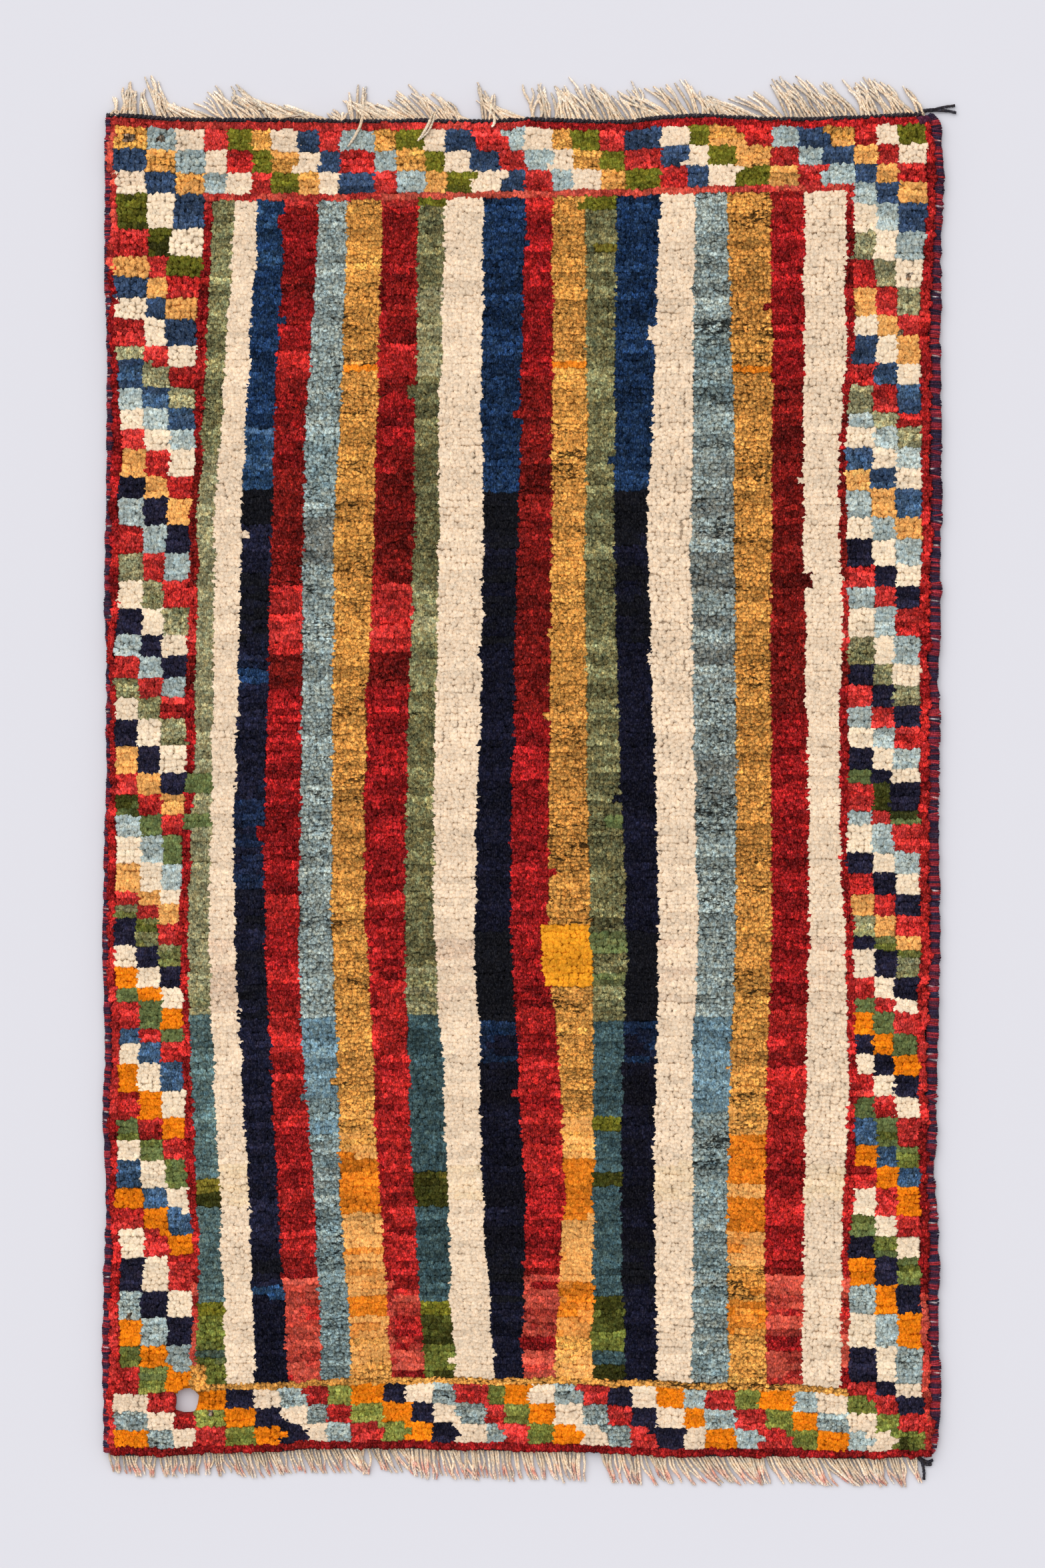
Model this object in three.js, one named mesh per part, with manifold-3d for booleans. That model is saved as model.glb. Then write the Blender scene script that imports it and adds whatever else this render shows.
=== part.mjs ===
// A hand-knotted gabbeh mat lying flat: the knotted body with a worn hole, two overcast
// selvedges, a twined cord across each end, and the warp fringe beyond each cord.
// Millimetres. +Y runs up the length towards the top end, +Z is up, and the underside is
// at Z = 0. Plan tables are measured from the middle of the cloth.

import * as THREE from "three";
import { mergeVertices } from "three/addons/utils/BufferGeometryUtils.js";
import Module from "manifold-3d";

const wasm = await Module();
wasm.setup();

// Driving sizes.
const HALF_WIDTH = 301; // middle of the cloth to the mean outer edge of a selvedge
const GAP = 0.3; // clearance between neighbouring pieces
const STEP_ALONG = 40; // spacing of the outline's points up the length
const STEP_ACROSS = 25; // the same across the width

const BODY = { thick: 11, round: 2.2 }; // foundation and pile, with its rounded pile edge
const SELVEDGE = { thick: 7.5, round: 1.5, leftWidth: 6.2, rightWidth: 9 };
const CORD = { thick: 3.2, topWidth: 2.2, bottomWidth: 1.6, bottomInset: 8 };
const FRINGE = { thick: 1.6, strandWidth: 1.3, tipWidth: 0.9, spine: 1.2 };
const ROUND_IN = 0.6; // a rounded rim draws in by this share of its height
const WELD = 1e-4; // points closer than this are one point

// How far each long edge wanders out from HALF_WIDTH, by height up the cloth.
const LEFT_EDGE = [
  { y: -484, out: -1.5 },
  { y: -465, out: 0.3 },
  { y: -393, out: 1.3 },
  { y: -336, out: -1.1 },
  { y: -281, out: -1.1 },
  { y: -245, out: 1.8 },
  { y: -201, out: -0.2 },
  { y: -105, out: 1.8 },
  { y: -57, out: 0.8 },
  { y: 87, out: -1.1 },
  { y: 149, out: -0.2 },
  { y: 207, out: -0.6 },
  { y: 298, out: -1.6 },
  { y: 484, out: -0.7 },
];
const RIGHT_EDGE = [
  { y: -486, out: -1.8 },
  { y: -475, out: 0.1 },
  { y: -369, out: -0.4 },
  { y: -336, out: 0.1 },
  { y: -288, out: -3.8 },
  { y: -259, out: -1.8 },
  { y: -211, out: -2.8 },
  { y: -187, out: -1.4 },
  { y: -101, out: 0.6 },
  { y: -33, out: -0.9 },
  { y: 63, out: -0.4 },
  { y: 183, out: 1.5 },
  { y: 298, out: 0.6 },
  { y: 447, out: 3 },
  { y: 486, out: 0.6 },
];

// Where the knotting stops at each end, across the width.
const TOP_END = [
  { x: -302, y: 482.5 },
  { x: -272, y: 481 },
  { x: -250, y: 479 },
  { x: -165, y: 478.3 },
  { x: -107, y: 477.5 },
  { x: -69, y: 478.5 },
  { x: -40, y: 477 },
  { x: 0, y: 479 },
  { x: 75, y: 477 },
  { x: 108, y: 481 },
  { x: 123, y: 481.8 },
  { x: 190, y: 479 },
  { x: 240, y: 480 },
  { x: 267, y: 481.7 },
  { x: 304, y: 484.2 },
];
const BOTTOM_END = [
  { x: -302, y: -481 },
  { x: -251, y: -481.5 },
  { x: -237, y: -479 },
  { x: -170, y: -478.5 },
  { x: -155, y: -476.5 },
  { x: -88, y: -476 },
  { x: -40, y: -477.5 },
  { x: 57, y: -479 },
  { x: 85, y: -480.2 },
  { x: 104, y: -482 },
  { x: 190, y: -481.5 },
  { x: 230, y: -483.5 },
  { x: 250, y: -483.6 },
  { x: 262, y: -482 },
  { x: 304, y: -483 },
];

// The worn hole: distance of its torn rim from its middle, turn by turn.
const HOLE = { x: -241.6, y: -443.3 };
const HOLE_RIM = [
  { turn: 0, reach: 8.2 },
  { turn: 32, reach: 9.6 },
  { turn: 62, reach: 8.6 },
  { turn: 90, reach: 9.8 },
  { turn: 122, reach: 8.4 },
  { turn: 155, reach: 7.4 },
  { turn: 182, reach: 8.4 },
  { turn: 215, reach: 7.6 },
  { turn: 245, reach: 9.2 },
  { turn: 274, reach: 8.4 },
  { turn: 305, reach: 9.4 },
  { turn: 334, reach: 7.4 },
];

// How the warp ends lie: how far a strand rooted at x reaches sideways and away from the
// rug at its tip. The strands between two rows are worked out from both.
const TOP_STRANDS = { pitch: 4.5, from: -297.5, to: 290, bend: 0.2, gaps: [{ from: -36, to: -31 }] };
const TOP_FALL = [
  { x: -296, sideways: 0, away: 22 },
  { x: -280, sideways: -2, away: 24 },
  { x: -266, sideways: -6, away: 16 },
  { x: -249, sideways: -11, away: 14 },
  { x: -230, sideways: -14, away: 12 },
  { x: -219, sideways: -9, away: 23 },
  { x: -204, sideways: -10.5, away: 25 },
  { x: -172, sideways: -17, away: 16 },
  { x: -142, sideways: -14, away: 12 },
  { x: -118, sideways: -3, away: 24 },
  { x: -98, sideways: -13, away: 13 },
  { x: -67, sideways: -14, away: 22 },
  { x: -41, sideways: -18, away: 23 },
  { x: -26, sideways: -4, away: 24 },
  { x: -9, sideways: -11, away: 13 },
  { x: 6, sideways: -3, away: 25 },
  { x: 44, sideways: -10.5, away: 25 },
  { x: 63, sideways: -12, away: 28 },
  { x: 97, sideways: -16, away: 20 },
  { x: 130, sideways: -19, away: 28.5 },
  { x: 169, sideways: -18, away: 18 },
  { x: 192, sideways: -20, away: 25 },
  { x: 203, sideways: -12, away: 27 },
  { x: 238, sideways: -18, away: 24 },
  { x: 267, sideways: -16, away: 27 },
  { x: 291, sideways: -11, away: 20 },
];
const BOTTOM_STRANDS = { pitch: 4.7, from: -294, to: 284, bend: 0, gaps: [{ from: 43, to: 52 }] };
const BOTTOM_FALL = [
  { x: -298, sideways: -1, away: 14.5 },
  { x: -273, sideways: 1, away: 16 },
  { x: -230, sideways: -1, away: 17 },
  { x: -211, sideways: 7, away: 17.5 },
  { x: -165, sideways: 5, away: 16.5 },
  { x: -146, sideways: 9, away: 18 },
  { x: -113, sideways: 0, away: 20 },
  { x: -98, sideways: 9, away: 19 },
  { x: -76, sideways: 3, away: 21.5 },
  { x: -47, sideways: 7, away: 21.5 },
  { x: -38, sideways: 4, away: 21.5 },
  { x: 8, sideways: 7, away: 22 },
  { x: 42, sideways: -1, away: 21.5 },
  { x: 54, sideways: 7.5, away: 21 },
  { x: 80, sideways: 5, away: 24 },
  { x: 89, sideways: 9, away: 21 },
  { x: 118, sideways: 15, away: 20 },
  { x: 157, sideways: 14, away: 21 },
  { x: 171, sideways: 8, away: 21 },
  { x: 219, sideways: 16, away: 20 },
  { x: 255, sideways: 5, away: 20 },
  { x: 289, sideways: 5, away: 15.5 },
];

// The loose ends of the two cords at the right hand corners, each a splayed wisp.
const TOP_TAIL = [
  { x: 304, y: 489.2 },
  { x: 311, y: 491.4 },
  { x: 312.6, y: 490.2 },
  { x: 307.5, y: 488.2 },
  { x: 314, y: 487.2 },
  { x: 313.4, y: 485.6 },
  { x: 303.5, y: 485.8 },
];
const BOTTOM_TAIL = [
  { x: 296.4, y: -485.9 },
  { x: 297, y: -488.2 },
  { x: 295.4, y: -492.6 },
  { x: 291.4, y: -491.4 },
  { x: 290.6, y: -486.4 },
];

// Evenly spaced places from one end to the other, both included.
function places(from, to, step) {
  const count = Math.max(1, Math.round(Math.abs(to - from) / step));
  return Array.from({ length: count + 1 }, (_, k) => THREE.MathUtils.lerp(from, to, k / count));
}

// Value of a table's column at a place along its key, eased from row to row unless straight.
function valueAt(table, key, column, place, straight = false) {
  const next = table.findIndex((row) => row[key] > place);
  if (next < 0) return table[table.length - 1][column];
  if (next === 0) return table[0][column];
  const low = table[next - 1];
  const high = table[next];
  const share = (place - low[key]) / (high[key] - low[key]);
  const ease = straight ? share : THREE.MathUtils.smoothstep(share, 0, 1);
  return THREE.MathUtils.lerp(low[column], high[column], ease);
}

// A wandering edge in short straight runs, whose ends every piece along it shares.
class Edge {
  constructor(table, key, column, step) {
    this.rows = places(table[0][key], table[table.length - 1][key], step).map((at) => ({
      at,
      value: valueAt(table, key, column, at),
    }));
  }

  value(place) {
    return valueAt(this.rows, "at", "value", place, true);
  }

  // The places of the run ends between two places, and both of these, in order.
  stops(from, to) {
    const inside = this.rows.map((row) => row.at).filter((at) => at > from && at < to);
    return [from, ...inside, to];
  }
}

const LEFT = new Edge(LEFT_EDGE, "y", "out", STEP_ALONG);
const RIGHT = new Edge(RIGHT_EDGE, "y", "out", STEP_ALONG);
const TOP = new Edge(TOP_END, "x", "y", STEP_ACROSS);
const BOTTOM = new Edge(BOTTOM_END, "x", "y", STEP_ACROSS);
const point = (x, y) => new THREE.Vector2(x, y);

// Points of a piece's end line, and of a line `inset` inside a long edge, in rising order.
const endLine = (edge, from, to, beyond) =>
  edge.stops(from, to).map((x) => point(x, edge.value(x) + beyond));
const leftLine = (from, to, inset) =>
  LEFT.stops(from, to).map((y) => point(-HALF_WIDTH - LEFT.value(y) + inset, y));
const rightLine = (from, to, inset) =>
  RIGHT.stops(from, to).map((y) => point(HALF_WIDTH + RIGHT.value(y) - inset, y));

// A flat piece of cloth raised from its plan, resting on Z = 0, its rim rounded by `round`.
function raised(outline, thick, round = 0, holes = []) {
  const shape = new THREE.Shape(outline);
  shape.holes = holes.map((rim) => new THREE.Path(rim));
  const geometry = new THREE.ExtrudeGeometry(shape, {
    depth: thick - 2 * round,
    bevelEnabled: round > 0,
    bevelThickness: round,
    bevelSize: round * ROUND_IN,
    bevelOffset: -round * ROUND_IN,
    bevelSegments: 1,
  });
  geometry.translate(0, 0, round);
  return geometry;
}

// Several closed pieces that cross one another, joined into one.
function joined(geometries) {
  const solids = geometries.map((geometry) => {
    geometry.deleteAttribute("normal");
    geometry.deleteAttribute("uv");
    const merged = mergeVertices(geometry, WELD);
    return new wasm.Manifold(
      new wasm.Mesh({
        numProp: 3,
        vertProperties: merged.attributes.position.array,
        triVerts: new Uint32Array(merged.index.array),
      }),
    );
  });
  const { vertProperties, triVerts } = wasm.Manifold.union(solids).asOriginal().getMesh();
  const whole = new THREE.BufferGeometry();
  whole.setAttribute("position", new THREE.BufferAttribute(vertProperties, 3));
  whole.setIndex(new THREE.BufferAttribute(triVerts, 1));
  return whole;
}

// One warp end in plan: upright at its root, leaning further past its knee, thinner at its tip.
function strandOutline(root, foot, sideways, away, bend) {
  const lean = Math.hypot(sideways, away) / Math.abs(away);
  const half = (FRINGE.strandWidth / 2) * lean;
  const halfTip = (FRINGE.tipWidth / 2) * lean;
  const tip = root + sideways;
  const knee = bend > 0 ? [{ x: root + sideways * (0.5 - bend), y: foot + away / 2 }] : [];
  return [
    point(root - half, foot),
    point(root + half, foot),
    ...knee.map(({ x, y }) => point(x + half, y)),
    point(tip + halfTip, foot + away),
    point(tip - halfTip, foot + away),
    ...knee.map(({ x, y }) => point(x - half, y)),
  ];
}

// A run of warp ends as one comb: a narrow spine `beyond` the end line of the knotting, and
// the strands that point away from the rug.
function comb(edge, beyond, strands, fall) {
  const side = Math.sign(beyond);
  const spineEdge = beyond + side * FRINGE.spine;
  const roots = places(strands.from, strands.to, strands.pitch).filter(
    (x) => !strands.gaps.some((gap) => x > gap.from && x < gap.to),
  );
  const teeth = roots.map((root) => {
    const sideways = valueAt(fall, "x", "sideways", root);
    const away = side * valueAt(fall, "x", "away", root);
    const foot = edge.value(root) + beyond + (side * FRINGE.spine) / 2;
    return raised(strandOutline(root, foot, sideways, away, strands.bend), FRINGE.thick);
  });
  const ends = [roots[0] - FRINGE.strandWidth, roots.at(-1) + FRINGE.strandWidth];
  const near = endLine(edge, ends[0], ends[1], beyond);
  const far = endLine(edge, ends[0], ends[1], spineEdge).reverse();
  return joined([raised([...near, ...far], FRINGE.thick), ...teeth]);
}

// The knotted cloth between the selvedges, its pile edge rounded and its worn hole open.
function rugBody() {
  const insetLeft = SELVEDGE.leftWidth + GAP;
  const insetRight = SELVEDGE.rightWidth + GAP;
  const x0 = -HALF_WIDTH + insetLeft;
  const x1 = HALF_WIDTH - insetRight;
  const rightSide = rightLine(BOTTOM.value(x1), TOP.value(x1), insetRight);
  const leftSide = leftLine(BOTTOM.value(x0), TOP.value(x0), insetLeft);
  const outline = [
    ...endLine(BOTTOM, leftSide[0].x, rightSide[0].x, 0),
    ...rightSide.slice(1, -1),
    ...endLine(TOP, leftSide.at(-1).x, rightSide.at(-1).x, 0).reverse(),
    ...leftSide.slice(1, -1).reverse(),
  ];
  const rim = HOLE_RIM.map(({ turn, reach }) => {
    const angle = THREE.MathUtils.degToRad(turn);
    return point(HOLE.x + reach * Math.cos(angle), HOLE.y + reach * Math.sin(angle));
  });
  return raised(outline, BODY.thick, BODY.round, [rim]);
}

// The outer warps, overcast into a firm edge along each side.
function selvedgeLeft() {
  const low = BOTTOM.value(-HALF_WIDTH);
  const high = TOP.value(-HALF_WIDTH + SELVEDGE.leftWidth);
  const inner = leftLine(low, high, SELVEDGE.leftWidth);
  const outer = leftLine(low, high, 0).reverse();
  return raised([...inner, ...outer], SELVEDGE.thick, SELVEDGE.round);
}

function selvedgeRight() {
  const low = BOTTOM.value(HALF_WIDTH) + GAP;
  const high = TOP.value(HALF_WIDTH - SELVEDGE.rightWidth);
  const outer = rightLine(low, high, 0);
  const inner = rightLine(low, high, SELVEDGE.rightWidth).reverse();
  return raised([...outer, ...inner], SELVEDGE.thick, SELVEDGE.round);
}

// The cord twined round the warps across each end, run out past the right hand corner.
function endCordTop() {
  const low = endLine(TOP, -HALF_WIDTH, HALF_WIDTH, GAP);
  const high = endLine(TOP, -HALF_WIDTH, HALF_WIDTH, GAP + CORD.topWidth).reverse();
  const tail = TOP_TAIL.toReversed().map(({ x, y }) => point(x, y));
  return raised([...low, ...tail, ...high], CORD.thick);
}

function endCordBottom() {
  const reach = HALF_WIDTH - CORD.bottomInset;
  const high = endLine(BOTTOM, -reach, reach, -GAP).reverse();
  const low = endLine(BOTTOM, -reach, reach, -GAP - CORD.bottomWidth);
  const tail = BOTTOM_TAIL.toReversed().map(({ x, y }) => point(x, y));
  return raised([...low, ...tail, ...high], CORD.thick);
}

function fringeTop() {
  return comb(TOP, GAP + CORD.topWidth + GAP, TOP_STRANDS, TOP_FALL);
}

function fringeBottom() {
  return comb(BOTTOM, -GAP - CORD.bottomWidth - GAP, BOTTOM_STRANDS, BOTTOM_FALL);
}

// A matt yarn in one colour.
function wool(color) {
  return new THREE.MeshStandardMaterial({ color, roughness: 0.95, metalness: 0 });
}

const PIECES = [
  { name: "rug_body", geometry: rugBody(), material: wool(0xa8432f) },
  { name: "selvedge_left", geometry: selvedgeLeft(), material: wool(0x2a2136) },
  { name: "selvedge_right", geometry: selvedgeRight(), material: wool(0x2a2136) },
  { name: "end_cord_top", geometry: endCordTop(), material: wool(0x24222a) },
  { name: "end_cord_bottom", geometry: endCordBottom(), material: wool(0x24222a) },
  { name: "fringe_top", geometry: fringeTop(), material: wool(0xd8c3a0) },
  { name: "fringe_bottom", geometry: fringeBottom(), material: wool(0xd8c3a0) },
];

const cloth = new THREE.Group();
for (const { name, geometry, material } of PIECES) {
  const mesh = new THREE.Mesh(geometry, material);
  mesh.name = name;
  cloth.add(mesh);
}

// The origin is the middle of the whole outline, fringes and loose ends included.
const middle = new THREE.Box3().setFromObject(cloth).getCenter(new THREE.Vector3());
cloth.position.set(-middle.x, -middle.y, 0);

const rug = new THREE.Group();
rug.add(cloth);

export default rug;
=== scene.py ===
import math

import bpy
import numpy as np
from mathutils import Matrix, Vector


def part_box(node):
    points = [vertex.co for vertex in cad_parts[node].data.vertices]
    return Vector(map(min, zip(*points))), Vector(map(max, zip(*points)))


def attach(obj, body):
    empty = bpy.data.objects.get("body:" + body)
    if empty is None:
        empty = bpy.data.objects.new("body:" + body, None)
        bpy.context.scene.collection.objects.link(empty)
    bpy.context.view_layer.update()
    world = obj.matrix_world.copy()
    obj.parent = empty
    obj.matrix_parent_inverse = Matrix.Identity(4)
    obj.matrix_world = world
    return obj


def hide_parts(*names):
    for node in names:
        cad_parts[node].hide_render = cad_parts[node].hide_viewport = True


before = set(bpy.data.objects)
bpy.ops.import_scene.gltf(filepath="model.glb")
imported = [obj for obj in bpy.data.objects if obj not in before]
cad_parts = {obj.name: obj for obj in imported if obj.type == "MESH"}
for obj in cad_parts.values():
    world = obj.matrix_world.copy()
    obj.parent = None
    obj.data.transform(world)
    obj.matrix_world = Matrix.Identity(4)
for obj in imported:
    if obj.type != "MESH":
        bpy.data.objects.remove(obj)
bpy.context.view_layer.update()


# The knotting plan: the rug is worked in rows of wool knots, each over a pair of undyed warps.
# The cloth's outline is taken from the frame.

MM = 0.001
CORD_TAIL_REACH = (314, 491.4)  # the top cord's far corner, from the cloth's middle
OUTLINE_LEVEL = 2.2 * MM  # the height at which the solid shows its full outline
OUTLINE_WITHIN = 0.1 * MM
KNOT_WIDTH = 5.2 * MM
BORDER_ROWS = 11
FIELD_ROWS = 172
ROWS = BORDER_ROWS + FIELD_ROWS + BORDER_ROWS
CHECK_ROWS = 3  # rows of knots in one row of checks
INNER_GUARD = 4  # across the rug come the outer guard, three columns of checks, then this one
FIRST_STRIPE = INNER_GUARD + 1

FIELD_TOP = [(-222.6, 421.7), (-160.2, 421.7), (7.8, 424.1), (233.4, 429.8), (271.8, 430.3)]
FIELD_BOTTOM = [
    (-280.2, -433.7), (-208.2, -430.8), (-160.2, -428.9), (-112.2, -426), (31.8, -426),
    (79.8, -427), (127.8, -429.4), (199.8, -431.8), (231, -434.6), (286.2, -435.1),
]
HOLE = (-241.6, -443.3)
HOLE_SEARCH = 16  # the hole's rim lies within this of its middle
HOLE_FACE_CLEAR = 0.5 * MM  # knots nearer to the rim than this are gone altogether
HOLE_EDGE_CLEAR = 2.3 * MM  # knots nearer to the rim than this have lost their pile

# Each dye as it looks in daylight: red, green, blue, then how much its locks differ from each
# other, and the share of them drawn with painted shade at the root, which also sets how often dark
# specks come
DYES = {
    "cream": (234, 209, 180, 0.08, 0.06),
    "rose_cream": (220, 192, 165, 0.1, 0.07),
    "butter": (234, 207, 170, 0.08, 0.05),
    "ivory": (239, 216, 186, 0.08, 0.05),
    "maroon": (100, 20, 16, 0.42, 0.2),
    "oxblood": (118, 23, 20, 0.42, 0.2),
    "madder": (139, 24, 25, 0.42, 0.18),
    "cherry": (168, 37, 34, 0.4, 0.16),
    "scarlet": (187, 52, 47, 0.36, 0.12),
    "coral": (192, 80, 63, 0.28, 0.07),
    "gold": (213, 147, 71, 0.26, 0.31),
    "amber": (225, 157, 75, 0.24, 0.28),
    "pale_gold": (224, 159, 87, 0.2, 0.12),
    "honey": (234, 168, 94, 0.2, 0.12),
    "orange": (215, 120, 28, 0.22, 0.12),
    "tangerine": (229, 123, 14, 0.18, 0.1),
    "saffron": (229, 150, 34, 0.14, 0.04),
    "sky": (153, 164, 158, 0.26, 0.29),
    "pale_sky": (158, 170, 166, 0.2, 0.13),
    "mist": (176, 186, 180, 0.2, 0.13),
    "grey_blue": (123, 126, 119, 0.28, 0.28),
    "azure": (106, 130, 139, 0.3, 0.16),
    "steel_blue": (127, 144, 143, 0.26, 0.27),
    "faded_blue": (60, 83, 108, 0.38, 0.1),
    "denim": (50, 66, 90, 0.32, 0.1),
    "lapis": (36, 60, 88, 0.44, 0.1),
    "deep_blue": (24, 43, 70, 0.44, 0.1),
    "midnight": (17, 17, 31, 0.34, 0.1),
    "ink": (17, 17, 22, 0.2, 0.05),
    "jet": (13, 12, 20, 0.2, 0.05),
    "dusk": (24, 24, 40, 0.36, 0.1),
    "raven": (30, 28, 44, 0.34, 0.08),
    "plum": (84, 38, 58, 0.3, 0.1),
    "sage": (125, 121, 83, 0.36, 0.2),
    "light_sage": (148, 142, 105, 0.32, 0.18),
    "moss": (110, 105, 70, 0.38, 0.2),
    "olive": (106, 103, 30, 0.28, 0.14),
    "lime": (112, 100, 34, 0.26, 0.08),
    "forest": (56, 56, 18, 0.3, 0.12),
    "fern": (96, 106, 62, 0.24, 0.1),
    "leaf": (104, 108, 46, 0.32, 0.1),
    "grass": (132, 134, 64, 0.3, 0.08),
    "slate": (60, 80, 82, 0.34, 0.12),
    "pale_slate": (85, 105, 103, 0.34, 0.12),
    "dirt": (122, 102, 84, 0.5, 0.3),
}

# The lots of wool from the top down: a lot starts at the height given. Where two dyes stand with
# a stroke between them, the rows run from one to the other by chance, as hand dyed wool does
LOTS = {
    "navy": "500 deep_blue, 212 ink, 187 midnight|ink, 103 midnight, -105 ink,"
            " -168 deep_blue|midnight, -200 jet|midnight, -330 ink|midnight, -370 midnight",
    "left_navy": "500 deep_blue|lapis, 371 deep_blue, 259 faded_blue|lapis, 215 ink, 190 dusk,"
                 " 156 ink|dusk, 103 deep_blue|dusk, 68 dusk, 0 dusk|deep_blue, -73 ink|dusk,"
                 " -170 dusk, -329 ink|dusk, -361 lapis, -368 midnight",
    "red": "500 scarlet, 418 madder|oxblood, 321 cherry|madder, 295 oxblood|madder,"
           " 227 maroon|oxblood, 146 cherry|scarlet, 96 maroon|oxblood, 71 madder, -80 madder|cherry,"
           " -159 cherry, -195 madder|cherry, -356 coral|cherry, -392 madder|coral",
    "dark_red": "500 cherry, 408 madder, 295 oxblood, 258 maroon|oxblood, 54 madder,"
                " -159 madder|cherry, -345 oxblood, -352 coral|madder, -395 madder,"
                " -404 coral|madder",
    "gold": "500 amber, 420 amber|gold, 304 orange, 299 amber|gold, 60 gold, -60 gold|amber,"
            " -160 amber|gold, -234 pale_gold|amber, -266 orange, -310 honey,"
            " -332 orange|pale_gold, -396 amber|pale_gold",
    "right_gold": "500 gold, 330 amber, 304 orange, 299 gold, -95 amber|gold, -225 pale_gold|amber,"
                  " -250 orange, -288 pale_gold, -294 orange, -316 orange|pale_gold,"
                  " -345 orange|amber, -396 amber",
    "cream": "500 cream, -109 rose_cream|cream, -162 cream, -272 butter|cream, -300 cream",
    "light_blue": "500 pale_sky, 425 sky, 300 steel_blue|sky, 196 grey_blue, 162 sky, -165 azure,"
                  " -190 azure|steel_blue, -250 steel_blue|sky, -330 steel_blue",
    "right_light_blue": "500 sky, 330 steel_blue|sky, 240 grey_blue|sky, -10 sky, -165 azure,"
                        " -236 steel_blue|sky",
    "sage": "500 olive, 420 sage, 240 light_sage, -100 sage|light_sage, -164 pale_slate,"
            " -283 lime, -291 forest, -303 pale_slate, -370 olive, -380 leaf, -404 slate|leaf,"
            " -414 leaf",
    "mid_sage": "500 olive, 416 moss|sage, 358 sage|light_sage, 293 moss, 146 light_sage|sage,"
                " 68 moss, -130 light_sage|sage, -164 slate, -280 forest|lime, -288 forest,"
                " -302 slate, -371 olive, -382 leaf|forest",
    "right_green": "500 olive, 417 moss|sage, 392 lime, 388 moss|sage, 60 sage|moss, -20 moss,"
                   " -100 fern|moss, -142 sage, -168 slate, -240 olive, -246 slate, -280 forest,"
                   " -287 slate, -365 forest|leaf, -392 leaf, -407 slate, -415 forest",
    "check_cream": "500 cream, 432 ivory, -436 cream",
    "check_red": "500 scarlet|cherry, 300 cherry|scarlet, -330 scarlet|cherry",
    "check_green": "500 olive, 432 forest|olive, 330 moss|forest, 130 fern|forest, -20 fern,"
                   " -250 leaf|fern, -432 grass|leaf",
    "check_sage": "500 light_sage, 150 sage|light_sage, 0 leaf|light_sage, -160 slate|leaf",
    "check_blue": "500 denim, 300 faded_blue|denim, 0 faded_blue",
    "check_navy": "500 raven, -480 raven|deep_blue",
    "check_ink": "500 raven",
    "check_light_blue": "500 pale_sky, 432 mist|pale_sky, -340 sky|pale_sky",
    "check_gold": "500 amber|pale_gold, 432 pale_gold|honey",
    "check_orange": "500 tangerine",
    "top_guard": "500 scarlet|coral",
    "top_guard_right": "500 madder|oxblood",
    "top_inner_guard": "500 coral|scarlet",
    "bottom_guard": "0 oxblood|madder",
    "bottom_inner_guard": "0 amber",
    "left_guard": "500 coral|scarlet, 370 madder, 235 cherry|madder, -120 scarlet|cherry,"
                  " -240 cherry|madder, -367 scarlet|cherry",
    "right_guard": "500 cherry|madder, 362 scarlet|cherry, 330 cherry|madder, 0 cherry,"
                   " -126 scarlet|cherry, -246 madder|oxblood, -367 cherry|coral",
}

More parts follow.
